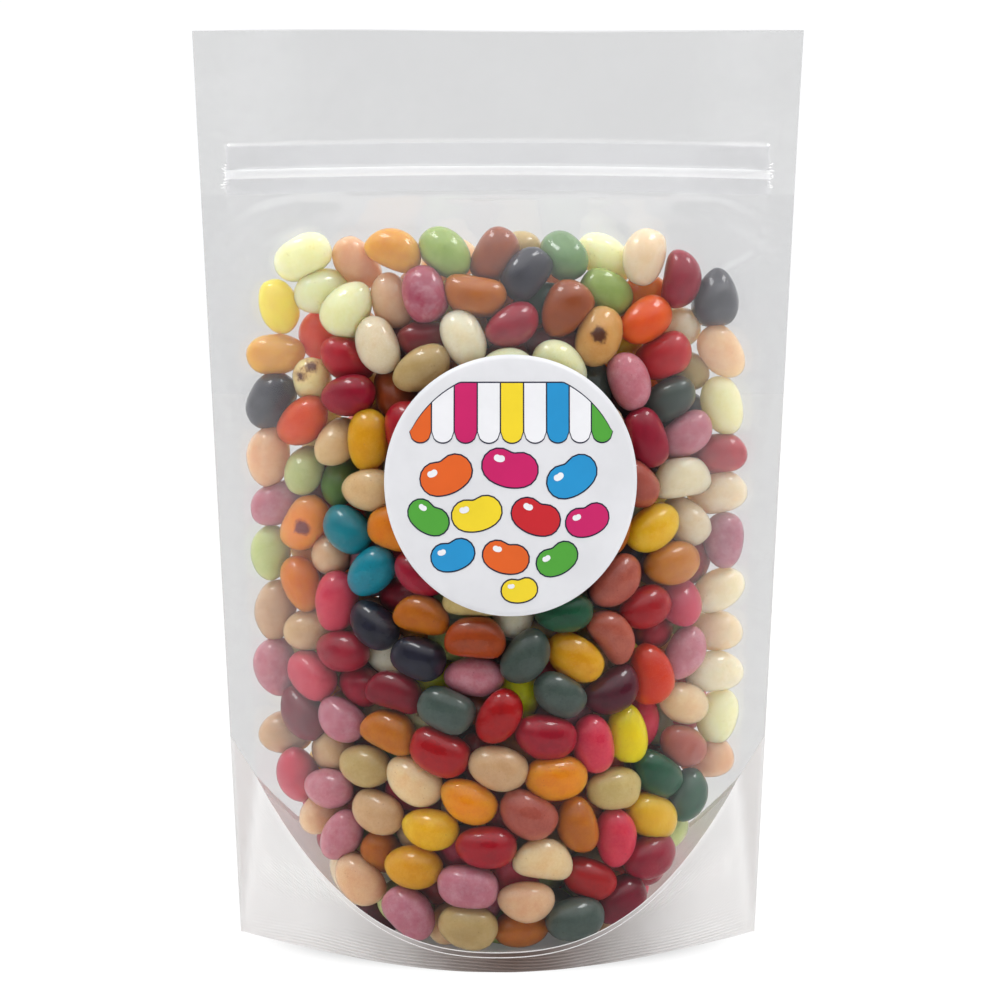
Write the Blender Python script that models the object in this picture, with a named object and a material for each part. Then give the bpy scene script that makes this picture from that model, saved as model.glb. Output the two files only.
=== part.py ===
"""Clear stand-up pouch filled with jelly beans: zip closure, gusseted base, round paper label.

Metres, +Z up, front towards -Y. The origin is at the middle of the base, on the surface it stands on.
The pouch and what fills it are one closed solid: a lofted core that lies a little inside the film
wherever beans press on it, with the outermost beans fused on so that each one reaches the film.
"""
import math
import random

import bmesh
import bpy
from mathutils import Matrix, Vector

# Film envelope
POUCH_WIDTH = 0.1524          # flat width at the open end
BASE_WIDTH = 0.1320           # corner to corner at the base, drawn in by the gusset
POUCH_HEIGHT = 0.2286
BASE_HALF_DEPTH = 0.0345      # how far the opened gusset pushes each panel out
FILM_STACK = 0.0010           # sealed films, thickened so that the seals are solid
SEAL_WIDTH = 0.0060
SKIRT_TOP = 0.0400            # height at which the side seals reach their full width
SHOULDER_TOP = 0.1880         # above this the two panels lie flat together
BULGE_POWER = 2.0             # how the depth of the pouch falls with height
BULGE_ROUNDING = 0.65
NOSE_ROUNDNESS = 0.70         # plan of the pouch: small is a sharp nose, large is a round one
HEADER_WAVE = 0.0012          # the loose top edge waves from front to back
HEADER_WAVE_START = 0.2030
HEADER_WAVES_ACROSS = 1.2

# Contents
FILL_TOP = 0.1790             # level of the top row of beans
BEAN_RELIEF = 0.0035          # how far the beans stand out of the core
RELIEF_BAND = 0.0040          # band over which the core comes up to the film
SEAM_LOW = 0.0050             # lowest point of the curved seam above the skirt
SEAM_RISE = 0.0330            # how much higher the seam is near the sides
SEAM_REACH = 0.0600
SEAM_POWER = 2.6
BEAN_PITCH = 0.0145
ROW_PITCH = 0.0119
TOP_ROW_DROP = 0.0050
PLACE_JITTER = 0.0013
ROCK = 0.20                   # a bean's tilt off the film, in radians
FILM_CLEARANCE = 0.0001       # the beans stop this far inside the film
SEAM_CLEARANCE = 0.0045
SIDE_CLEARANCE = 0.0040
SOLO_DEPTH = 0.0080           # where the pouch is thinner than this, one bean fills it
RANDOM_SEED = 41

# Gusset, seen from below
HOLLOW_X = 0.0400
HOLLOW_RADII = (0.0180, 0.0095, 0.0034)

# Closure
ZIP_Z = 0.1929
ZIP_ARCH = 0.0011             # the middle of the track rides higher than its ends
ZIP_HALF_LENGTH = 0.0680
ZIP_CRUSH = 0.0030            # the track's ends are pressed flat by the side seals
FLANGE_BELOW = 0.0050
FLANGE_ABOVE = 0.0072
FLANGE_THICKNESS = 0.0005
BEAD_HEIGHT = 0.0013
BEAD_HALF_WIDTH = 0.0012

# Label
LABEL_RADIUS = 0.03175
LABEL_X = 0.0035
LABEL_Z = 0.1170
LABEL_THICKNESS = 0.0004
LABEL_RINGS = 3
LABEL_SEGMENTS = 32
LABEL_OVERLAP = 0.0030        # beans may reach this far in behind the label's edge
BED_MARGIN = 0.0007           # smooth film round the label
BED_DEPTH = 0.0060

TOUCH_GAP = 0.0003            # between neighbouring pieces
SLOPE_STEP = 0.0004           # for measuring the slope of the film
BODY_LEVELS = 20
PANEL_STATIONS = 10           # intervals across a panel between its side seals
FLATNESS = math.radians(4.0)  # facets of the fused body that lie flatter than this are merged


def mix(low, high, share):
    return low + (high - low) * share


def smooth_step(value):
    value = min(max(value, 0.0), 1.0)
    return value * value * (3.0 - 2.0 * value)


# ------------------------------------------------------------------ shape of the film

def half_width(z):
    return mix(BASE_WIDTH, POUCH_WIDTH, z / POUCH_HEIGHT) / 2.0


def panel_reach(z):
    """Half the width of a panel inside its side seals, which fade out in the skirt."""
    seal = SEAL_WIDTH * min(z / SKIRT_TOP, 1.0)
    return half_width(z) - max(seal, FILM_STACK / 2.0)


def bulge(z):
    """How far the middle of a panel stands out at one height."""
    rise = min(z / SHOULDER_TOP, 1.0)
    return BASE_HALF_DEPTH * (1.0 - rise ** BULGE_POWER) ** BULGE_ROUNDING


def nose(across):
    """Plan of a panel: nearly straight flanks, 1 at the seals, round and 0 at the middle."""
    full = math.hypot(1.0, NOSE_ROUNDNESS) - NOSE_ROUNDNESS
    return (math.hypot(across, NOSE_ROUNDNESS) - NOSE_ROUNDNESS) / full


def film_depth(x, z):
    """Distance of the film from the middle plane of the pouch."""
    across = min(abs(x) / panel_reach(z), 1.0)
    return FILM_STACK / 2.0 + bulge(z) * (1.0 - nose(across))


def film_slope_x(x, z):
    return (film_depth(x + SLOPE_STEP, z) - film_depth(x - SLOPE_STEP, z)) / (2.0 * SLOPE_STEP)


def film_slope_z(x, z):
    return (film_depth(x, z + SLOPE_STEP) - film_depth(x, z - SLOPE_STEP)) / (2.0 * SLOPE_STEP)


def seam_height(x):
    """The curved seam that joins a panel to the gusset."""
    return SEAM_LOW + SEAM_RISE * (abs(x) / SEAM_REACH) ** SEAM_POWER


def core_depth(x, z):
    """The film's distance, less the relief of the beans where there are any."""
    above_seam = smooth_step((z - seam_height(x)) / RELIEF_BAND)
    below_top = smooth_step((FILL_TOP + RELIEF_BAND - z) / RELIEF_BAND)
    sunk = film_depth(x, z) - BEAN_RELIEF * above_seam * below_top
    return max(sunk, FILM_STACK / 2.0)


def header_sway(x, z):
    rise = (z - HEADER_WAVE_START) / (POUCH_HEIGHT - HEADER_WAVE_START)
    phase = 2.0 * math.pi * HEADER_WAVES_ACROSS * x / POUCH_WIDTH + 0.5
    return HEADER_WAVE * max(rise, 0.0) * math.sin(phase)


# ------------------------------------------------------------------ helpers

def make_material(name, color, roughness):
    material = bpy.data.materials.new(name)
    material.use_nodes = True
    shader = material.node_tree.nodes["Principled BSDF"]
    shader.inputs["Base Color"].default_value = (*color, 1.0)
    shader.inputs["Roughness"].default_value = roughness
    shader.inputs["Metallic"].default_value = 0.0
    return material


def make_collection(name):
    collection = bpy.data.collections.new(name)
    bpy.context.scene.collection.children.link(collection)
    return collection


def add_object(name, mesh, collection, material=None):
    obj = bpy.data.objects.new(name, mesh)
    collection.objects.link(obj)
    if material:
        mesh.materials.append(material)
    return obj


def finish_mesh(work, name):
    bmesh.ops.triangulate(work, faces=work.faces)
    bmesh.ops.recalc_face_normals(work, faces=work.faces)
    mesh = bpy.data.meshes.new(name)
    work.to_mesh(mesh)
    work.free()
    return mesh


def skin(work, rings):
    """Join closed rings of points in order and cap both ends."""
    loops = [[work.verts.new(point) for point in ring] for ring in rings]
    for low, high in zip(loops, loops[1:]):
        for index in range(len(low)):
            after = (index + 1) % len(low)
            work.faces.new((low[index], low[after], high[after], high[index]))
    work.faces.new(loops[0][::-1])
    work.faces.new(loops[-1])


def apply_modifiers(obj):
    bpy.context.view_layer.update()
    evaluated = obj.evaluated_get(bpy.context.evaluated_depsgraph_get())
    mesh = bpy.data.meshes.new_from_object(evaluated)
    mesh.name = obj.name
    obj.modifiers.clear()
    obj.data = mesh


# ------------------------------------------------------------------ core

def core_ring(z):
    """One level of the core: along the front panel and back along the rear one."""
    edge = half_width(z)
    reach = panel_reach(z)
    panel = [reach * (2.0 * index / PANEL_STATIONS - 1.0) for index in range(PANEL_STATIONS + 1)]
    stations = [-edge] + panel + [edge]
    front = [(x, header_sway(x, z) - core_depth(x, z), z) for x in stations]
    rear = [(x, header_sway(x, z) + core_depth(x, z), z) for x in reversed(stations)]
    return front + rear


def core_levels():
    """Heights from the base to the open end, closer together at the seam and the shoulder."""
    shares = [index / BODY_LEVELS for index in range(BODY_LEVELS + 1)]
    body = [SHOULDER_TOP * mix(share, 0.5 - 0.5 * math.cos(math.pi * share), 0.5) for share in shares]
    return body + [HEADER_WAVE_START, mix(HEADER_WAVE_START, POUCH_HEIGHT, 0.5), POUCH_HEIGHT]


def make_core():
    work = bmesh.new()
    skin(work, [core_ring(z) for z in core_levels()])
    return finish_mesh(work, "pouch")


def cut_gusset_hollows(core, cutters):
    """Two shallow hollows under the base, where the opened gusset rises towards its corners."""
    for name, side in (("gusset_hollow_left", -1), ("gusset_hollow_right", 1)):
        work = bmesh.new()
        bmesh.ops.create_uvsphere(work, u_segments=12, v_segments=8, radius=1.0)
        bmesh.ops.transform(work, matrix=Matrix.Diagonal((*HOLLOW_RADII, 1.0)), verts=work.verts)
        hollow = add_object(name, finish_mesh(work, name), cutters)
        hollow.location = (side * HOLLOW_X, 0.0, 0.0)
        hollow.hide_render = True
        hollow.display_type = "WIRE"
        cut = core.modifiers.new(name, "BOOLEAN")
        cut.operation = "DIFFERENCE"
        cut.object = hollow
    apply_modifiers(core)


# ------------------------------------------------------------------ beans

# size is length, width and thickness; share is how often the form turns up
BEAN_FORMS = (
    dict(size=(0.0154, 0.0104, 0.0092), bend=0.10, taper=0.00, waist=0.00, share=5),
    dict(size=(0.0146, 0.0110, 0.0096), bend=0.04, taper=0.10, waist=0.00, share=3),
    dict(size=(0.0162, 0.0098, 0.0090), bend=0.16, taper=0.05, waist=0.00, share=3),
    dict(size=(0.0160, 0.0112, 0.0094), bend=0.06, taper=0.32, waist=0.00, share=1),
    dict(size=(0.0190, 0.0108, 0.0092), bend=0.02, taper=0.06, waist=0.22, share=1),
)
BEAN_SIDES = 5
BEAN_RINGS = 4
BEAN_FULLNESS = 1.10          # makes up for the flats between so few sides


def make_bean(name, form, collection):
    """A few-sided bean lying along X with its flat side towards Z."""
    length, width, thickness = form["size"]
    work = bmesh.new()
    bmesh.ops.create_uvsphere(work, u_segments=BEAN_SIDES, v_segments=BEAN_RINGS, radius=1.0)
    for vert in work.verts:
        along = vert.co.z
        waist = 1.0 - form["waist"] * (1.0 - along * along) ** 2
        girth = BEAN_FULLNESS * waist * (1.0 + form["taper"] * along)
        bow = form["bend"] * (along * along - 0.4) * width
        across = vert.co.x * girth * width / 2.0
        through = vert.co.y * girth * thickness / 2.0
        vert.co = Vector((along * length / 2.0, across + bow, through))
    return add_object(name, finish_mesh(work, name), collection)


def seat_bean(bean, x, z, side, thickness, rng):
    """Lay a bean against the inside of the film and trim what would come through it."""
    normal = Vector((-film_slope_x(x, z), side, -film_slope_z(x, z))).normalized()
    middle = max(film_depth(x, z) - thickness / 2.0 * abs(normal.y), 0.0)
    facing = normal.to_track_quat("Z", "Y").to_matrix().to_4x4()
    rock = Matrix.Rotation(rng.uniform(-ROCK, ROCK), 4, "X")
    spin = Matrix.Rotation(rng.uniform(-0.5, 0.5) * math.pi, 4, "Z")
    bean.data.transform(Matrix.Translation((x, side * middle, z)) @ facing @ rock @ spin)
    for vert in bean.data.vertices:
        limit = film_depth(vert.co.x, vert.co.z) - FILM_CLEARANCE
        vert.co.y = min(max(vert.co.y, -limit), limit)


def row_places(z, shift):
    """Points a bean's pitch apart along the film at one height."""
    places = []
    for direction, start in ((1, shift), (-1, shift - BEAN_PITCH)):
        x = start
        while abs(x) < panel_reach(z) - SIDE_CLEARANCE:
            places.append(x)
            x += direction * BEAN_PITCH / math.hypot(1.0, film_slope_x(x, z))
    return sorted(places)


def has_bean(x, z, side):
    """Whether a place on the film shows a bean of its own."""
    behind_label = side < 0 and math.hypot(x - LABEL_X, z - LABEL_Z) < LABEL_RADIUS - LABEL_OVERLAP
    in_skirt = z < seam_height(x) + SEAM_CLEARANCE
    filled_from_front = side > 0 and film_depth(x, z) < SOLO_DEPTH
    return not (behind_label or in_skirt or filled_from_front)


def make_beans(collection):
    rng = random.Random(RANDOM_SEED)
    forms = [form for form in BEAN_FORMS for _ in range(form["share"])]
    for side in (-1, 1):
        for row in range(int((FILL_TOP - SEAM_LOW) / ROW_PITCH)):
            row_z = FILL_TOP - TOP_ROW_DROP - row * ROW_PITCH
            for column, row_x in enumerate(row_places(row_z, BEAN_PITCH / 2.0 * (row % 2))):
                form = rng.choice(forms)
                x = row_x + rng.uniform(-PLACE_JITTER, PLACE_JITTER)
                z = row_z + rng.uniform(-PLACE_JITTER, PLACE_JITTER)
                if has_bean(x, z, side):
                    bean = make_bean(f"bean_{side}_{row}_{column}", form, collection)
                    seat_bean(bean, x, z, side, form["size"][2], rng)


# ------------------------------------------------------------------ label

def walk(start, distance, slope_at):
    """Where a point lands after going a distance along the film."""
    steps = 16
    position = start
    for _ in range(steps):
        position += distance / steps / math.hypot(1.0, slope_at(position))
    return position


def wrapped_point(radius, angle):
    """A point of a flat round label after it has been smoothed onto the front film."""
    z = walk(LABEL_Z, radius * math.sin(angle), lambda height: film_slope_z(LABEL_X, height))
    x = walk(LABEL_X, radius * math.cos(angle), lambda place: film_slope_x(place, z))
    return x, z


def make_disc(name, radius, inner_lift, outer_lift):
    """A disc that follows the front film, from one distance outside it to another."""
    work = bmesh.new()
    rims = []
    for lift in (inner_lift, outer_lift):
        middle = work.verts.new((LABEL_X, -film_depth(LABEL_X, LABEL_Z) - lift, LABEL_Z))
        rings = []
        for ring in range(1, LABEL_RINGS + 1):
            angles = [2.0 * math.pi * index / LABEL_SEGMENTS for index in range(LABEL_SEGMENTS)]
            points = [wrapped_point(radius * ring / LABEL_RINGS, angle) for angle in angles]
            rings.append([work.verts.new((x, -film_depth(x, z) - lift, z)) for x, z in points])
        for index in range(LABEL_SEGMENTS):
            after = (index + 1) % LABEL_SEGMENTS
            work.faces.new((middle, rings[0][index], rings[0][after]))
            for near, far in zip(rings, rings[1:]):
                work.faces.new((near[index], far[index], far[after], near[after]))
        rims.append(rings[-1])
    inside, outside = rims
    for index in range(LABEL_SEGMENTS):
        after = (index + 1) % LABEL_SEGMENTS
        work.faces.new((inside[index], inside[after], outside[after], outside[index]))
    return finish_mesh(work, name)


# ------------------------------------------------------------------ closure

def make_zip_rail(name, side):
    """One half of the press-to-close track: a flat flange with a bead along it."""
    # height and bead share of each corner of the outer face, from the bottom up
    corners = ((-FLANGE_BELOW, 0.0), (-BEAD_HALF_WIDTH, 0.0), (-BEAD_HALF_WIDTH / 2.0, 1.0),
               (BEAD_HALF_WIDTH / 2.0, 1.0), (BEAD_HALF_WIDTH, 0.0), (FLANGE_ABOVE, 0.0))
    inner = FILM_STACK / 2.0 + TOUCH_GAP
    left_end = [-ZIP_HALF_LENGTH + ZIP_CRUSH * count for count in range(3)]
    between = [ZIP_HALF_LENGTH * share for share in (-0.6, -0.3, 0.0, 0.3, 0.6)]
    rings = []
    for x in left_end + between + [-place for place in reversed(left_end)]:
        uncrushed = smooth_step((ZIP_HALF_LENGTH - abs(x)) / ZIP_CRUSH - 0.5)
        bead = (BEAD_HEIGHT - FLANGE_THICKNESS) * uncrushed
        middle = ZIP_Z + ZIP_ARCH * (1.0 - (x / ZIP_HALF_LENGTH) ** 2)
        face = [(x, side * (inner + FLANGE_THICKNESS + bead * share), middle + rise)
                for rise, share in corners]
        back = [(x, side * inner, middle + FLANGE_ABOVE), (x, side * inner, middle - FLANGE_BELOW)]
        rings.append(face + back)
    work = bmesh.new()
    skin(work, rings)
    return finish_mesh(work, name)


# ------------------------------------------------------------------ assembly

def fuse(target, collection):
    """Join a whole collection to an object with one Boolean union, then drop the collection."""
    union = target.modifiers.new("fuse", "BOOLEAN")
    union.operation = "UNION"
    union.operand_type = "COLLECTION"
    union.collection = collection
    union.solver = "EXACT"
    apply_modifiers(target)
    for obj in list(collection.objects):
        mesh = obj.data
        bpy.data.objects.remove(obj)
        bpy.data.meshes.remove(mesh)
    bpy.data.collections.remove(collection)


def connected_bodies(work):
    """The mesh's separate bodies, smallest first, each as a set of vertices."""
    unseen = set(work.verts)
    bodies = []
    while unseen:
        start = unseen.pop()
        body = {start}
        edge_of_body = [start]
        while edge_of_body:
            for edge in edge_of_body.pop().link_edges:
                fresh = [vert for vert in edge.verts if vert in unseen]
                unseen.difference_update(fresh)
                body.update(fresh)
                edge_of_body.extend(fresh)
        bodies.append(body)
    return sorted(bodies, key=len)


def clean_up(obj):
    """Drop loose scraps and sealed hollows, and merge the flat facets between the beans."""
    work = bmesh.new()
    work.from_mesh(obj.data)
    for scrap in connected_bodies(work)[:-1]:
        bmesh.ops.delete(work, geom=list(scrap), context="VERTS")
    filled = {vert for vert in work.verts if vert.co.z < FILL_TOP}
    edges = [edge for edge in work.edges if filled.issuperset(edge.verts)]
    bmesh.ops.dissolve_limit(work, angle_limit=FLATNESS, verts=list(filled), edges=edges)
    bmesh.ops.triangulate(work, faces=work.faces)
    work.to_mesh(obj.data)
    work.free()


def build():
    for obj in list(bpy.data.objects):
        bpy.data.objects.remove(obj)
    parts = make_collection("jelly_bean_pouch")
    cutters = make_collection("cutters")
    filling = make_collection("filling")

    candy = make_material("candy_behind_film", (0.72, 0.24, 0.16), 0.25)
    paper = make_material("label_paper", (0.88, 0.88, 0.87), 0.55)
    zip_plastic = make_material("zip_plastic", (0.82, 0.83, 0.84), 0.20)

    pouch = add_object("pouch", make_core(), parts, candy)
    cut_gusset_hollows(pouch, cutters)
    make_beans(filling)
    bed = make_disc("label_bed", LABEL_RADIUS + BED_MARGIN, -BED_DEPTH, 0.0)
    add_object("label_bed", bed, filling)
    fuse(pouch, filling)
    clean_up(pouch)

    label = make_disc("label", LABEL_RADIUS, TOUCH_GAP, TOUCH_GAP + LABEL_THICKNESS)
    add_object("label", label, parts, paper)
    for name, side in (("zip_rail_front", -1), ("zip_rail_back", 1)):
        add_object(name, make_zip_rail(name, side), parts, zip_plastic)


build()
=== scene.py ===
import math
import time

import bmesh
import bpy
import numpy as np
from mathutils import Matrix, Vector
from mathutils.bvhtree import BVHTree


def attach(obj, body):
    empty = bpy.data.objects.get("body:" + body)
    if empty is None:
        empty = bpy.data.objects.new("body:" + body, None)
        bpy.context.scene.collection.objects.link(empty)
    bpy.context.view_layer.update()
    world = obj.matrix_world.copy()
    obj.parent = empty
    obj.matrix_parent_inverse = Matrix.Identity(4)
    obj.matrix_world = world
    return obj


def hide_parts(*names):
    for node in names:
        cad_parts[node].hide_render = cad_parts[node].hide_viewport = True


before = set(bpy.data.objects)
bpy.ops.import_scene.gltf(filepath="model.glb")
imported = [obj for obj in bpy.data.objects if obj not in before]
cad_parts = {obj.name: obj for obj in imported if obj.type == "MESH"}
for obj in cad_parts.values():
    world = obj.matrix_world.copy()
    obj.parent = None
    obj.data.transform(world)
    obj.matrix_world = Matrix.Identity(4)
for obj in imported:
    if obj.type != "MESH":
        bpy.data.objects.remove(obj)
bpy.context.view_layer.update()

# Metres, front towards -Y, base on Z = 0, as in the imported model
started = time.time()


def report(stage):
    print(f"{stage}: {time.time() - started:.0f} s")


# The pouch's form, shared by the beans, the film and the label

pouch = {
    "topWidth": 0.1524,
    "baseWidth": 0.1320,
    "height": 0.2286,
    "baseHalfDepth": 0.0345,
    "stack": 0.0010,           # both sealed films
    "sealWidth": 0.0060,
    "skirtTop": 0.0400,
    "shoulderTop": 0.1880,
    "bulgePower": 2.0,
    "bulgeRounding": 0.65,
    "noseRoundness": 0.70,
    "seamLow": 0.0050,
    "seamRise": 0.0330,
    "seamReach": 0.0600,
    "seamPower": 2.6,
    "gussetSag": 0.0120,
    "gussetLowest": 0.0006,
    "headerWave": 0.0012,
    "headerWaveStart": 0.2030,
    "headerWavesAcross": 1.2,
}


# From 0 at start to 1 a width further on, or back where the width is negative
def fade(value, start, width):
    return np.clip((value - start) / width, 0, 1)


def halfWidth(z):
    return (pouch["baseWidth"] + (pouch["topWidth"] - pouch["baseWidth"]) * z / pouch["height"]) / 2


def panelReach(z):
    seal = pouch["sealWidth"] * np.clip(z / pouch["skirtTop"], 0, 1)
    return halfWidth(z) - np.maximum(seal, pouch["stack"] / 2)


def bulge(z):
    rise = np.clip(z / pouch["shoulderTop"], 0, 1)
    return pouch["baseHalfDepth"] * (1 - rise ** pouch["bulgePower"]) ** pouch["bulgeRounding"]


def filmDepth(x, z):
    roundness = pouch["noseRoundness"]
    across = np.clip(np.abs(x) / panelReach(z), 0, 1)
    nose = (np.hypot(across, roundness) - roundness) / (math.hypot(1, roundness) - roundness)
    return pouch["stack"] / 2 + bulge(z) * (1 - nose)


def seamHeight(x):
    return pouch["seamLow"] + pouch["seamRise"] * (np.abs(x) / pouch["seamReach"]) ** pouch["seamPower"]


def gussetHeight(x, y):
    seam = seamHeight(x)
    sag = np.minimum(seam - pouch["gussetLowest"], pouch["gussetSag"])
    share = np.clip(np.abs(y) / filmDepth(x, seam), 0, 1)
    return seam - sag * (1 - share ** 2)


def headerSway(x, z):
    start = pouch["headerWaveStart"]
    phase = 2 * math.pi * pouch["headerWavesAcross"] * x / pouch["topWidth"] + 0.5
    return pouch["headerWave"] * fade(z, start, pouch["height"] - start) * np.sin(phase)


def slopesOf(surface, first, second):
    step = 0.0004
    return ((surface(first + step, second) - surface(first - step, second)) / (2 * step),
            (surface(first, second + step) - surface(first, second - step)) / (2 * step))


def filmNormals(x, z, side):
    slopeX, slopeZ = slopesOf(filmDepth, x, z)
    normals = np.stack([-slopeX, side * np.ones_like(slopeX), -slopeZ], -1)
    return normals / np.linalg.norm(normals, axis=-1, keepdims=True)


# Helpers for meshes and nodes

def makePiece(name, points, faces, slot):
    mesh = bpy.data.meshes.new(name)
    mesh.from_pydata(np.asarray(points).tolist(), [], [list(face) for face in faces])
    mesh.update()
    mesh.polygons.foreach_set("use_smooth", np.ones(len(mesh.polygons), bool))
    piece = bpy.data.objects.new(name, mesh)
    bpy.context.scene.collection.objects.link(piece)
    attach(piece, "root")
    return piece


def gridFaces(rows, columns, start=0, flip=False):
    index = start + np.arange(rows * columns).reshape(rows, columns)
    corners = [index[:-1, :-1], index[:-1, 1:], index[1:, 1:], index[1:, :-1]]
    faces = np.stack(corners, -1).reshape(-1, 4)
    return faces[:, ::-1] if flip else faces


# A value that is a socket is linked, and any other is set
def addNode(tree, kind, inputs=None, **values):
    node = tree.nodes.new(kind)
    for name, value in values.items():
        setattr(node, name, value)
    for name, value in (inputs or {}).items():
        if isinstance(value, bpy.types.NodeSocket):
            tree.links.new(value, node.inputs[name])
        else:
            node.inputs[name].default_value = value
    return node


def newMaterial(name):
    material = bpy.data.materials.new(name)
    material.use_nodes = True
    tree = material.node_tree
    tree.nodes.clear()
    return material, tree, addNode(tree, "ShaderNodeOutputMaterial").inputs["Surface"]


def newGroup(name, inputs, outputs):
    tree = bpy.data.node_groups.new(name, "ShaderNodeTree")
    for kind, sockets in (("INPUT", inputs), ("OUTPUT", outputs)):
        for label, socket, value in sockets:
            made = tree.interface.new_socket(label, in_out=kind, socket_type="NodeSocket" + socket)
            if value is not None:
                made.default_value = value
    return tree, addNode(tree, "NodeGroupInput").outputs


def endGroup(tree, results):
    addNode(tree, "NodeGroupOutput", results)
    return tree


def useGroup(tree, group, inputs):
    return addNode(tree, "ShaderNodeGroup", inputs, node_tree=group).outputs


def objectPlace(tree):
    return addNode(tree, "ShaderNodeTexCoord").outputs["Object"]


def splitPlace(tree, place):
    return addNode(tree, "ShaderNodeSeparateXYZ", {0: place}).outputs


def noiseNode(tree, place, scale, detail=2.0, roughness=0.5):
    inputs = {"Vector": place, "Scale": scale, "Detail": detail, "Roughness": roughness}
    return addNode(tree, "ShaderNodeTexNoise", inputs).outputs["Fac"]


def rangeNode(tree, value, low, high, to=(0.0, 1.0)):
    inputs = {"Value": value, "From Min": low, "From Max": high, "To Min": to[0], "To Max": to[1]}
    return addNode(tree, "ShaderNodeMapRange", inputs, interpolation_type="SMOOTHSTEP").outputs["Result"]


def mathNode(tree, operation, first, second=0.5, clamp=False):
    inputs = {0: first, 1: second}
    return addNode(tree, "ShaderNodeMath", inputs, operation=operation, use_clamp=clamp).outputs[0]


def times(tree, first, second, clamp=False):
    return mathNode(tree, "MULTIPLY", first, second, clamp)


def mixColours(tree, share, first, second, blend="MIX"):
    inputs = {0: share, 6: first, 7: second}
    return addNode(tree, "ShaderNodeMix", inputs, data_type="RGBA", blend_type=blend).outputs[2]


def mixShaders(tree, share, first, second):
    return addNode(tree, "ShaderNodeMixShader", {0: share, 1: first, 2: second}).outputs[0]


def bumpNode(tree, height, strength, distance):
    inputs = {"Height": height, "Strength": strength, "Distance": distance}
    return addNode(tree, "ShaderNodeBump", inputs).outputs["Normal"]


# Screen colour to scene colour
def paint(red, green, blue):
    parts = np.array([red, green, blue]) / 255
    linear = np.where(parts <= 0.04045, parts / 12.92, ((parts + 0.055) / 1.055) ** 2.4)
    return (*linear.tolist(), 1.0)


# Where the beans lie

beanFill = {
    "count": 552,
    "ballRadius": 0.00505,     # three balls along each bean keep it off its neighbours
    "ballSpread": 0.00235,
    "top": 0.1775,
    "cornerLift": 0.0055,      # the heap stays clear of the seam in the lower corners
    "cornerStart": 0.0320,
    "cornerWidth": 0.0200,
    "topGap": 0.0020,
    "deepest": 0.0030,         # no seen bean is meant to lie further back than this
    "steps": 520,
    "pairEvery": 8,            # steps between looks for beans that may touch
    "pairGap": 0.0020,
    "swell": (0.70, 0.30),     # the balls' size at first, and what they gain
    "growth": 0.60,            # share of the steps over which they gain it
    "ease": 0.34,              # share of its pushes by which a bean moves in a step
    "turnEase": 0.45,
    "sideGive": 0.30,          # the film gives way sideways to the beans that are seen
    "lean": 0.06,              # how fast the beans beside the film turn to lie along it
    "leanReach": 1.6,          # and how near these are, in radii
    "hold": 0.25,              # how firmly the front's beans keep their places
    "holdDeep": 0.15,
    "holdTurn": 0.12,
    "release": 0.80,           # share of the steps after which they are let go
    "seed": 23,
}

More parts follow.
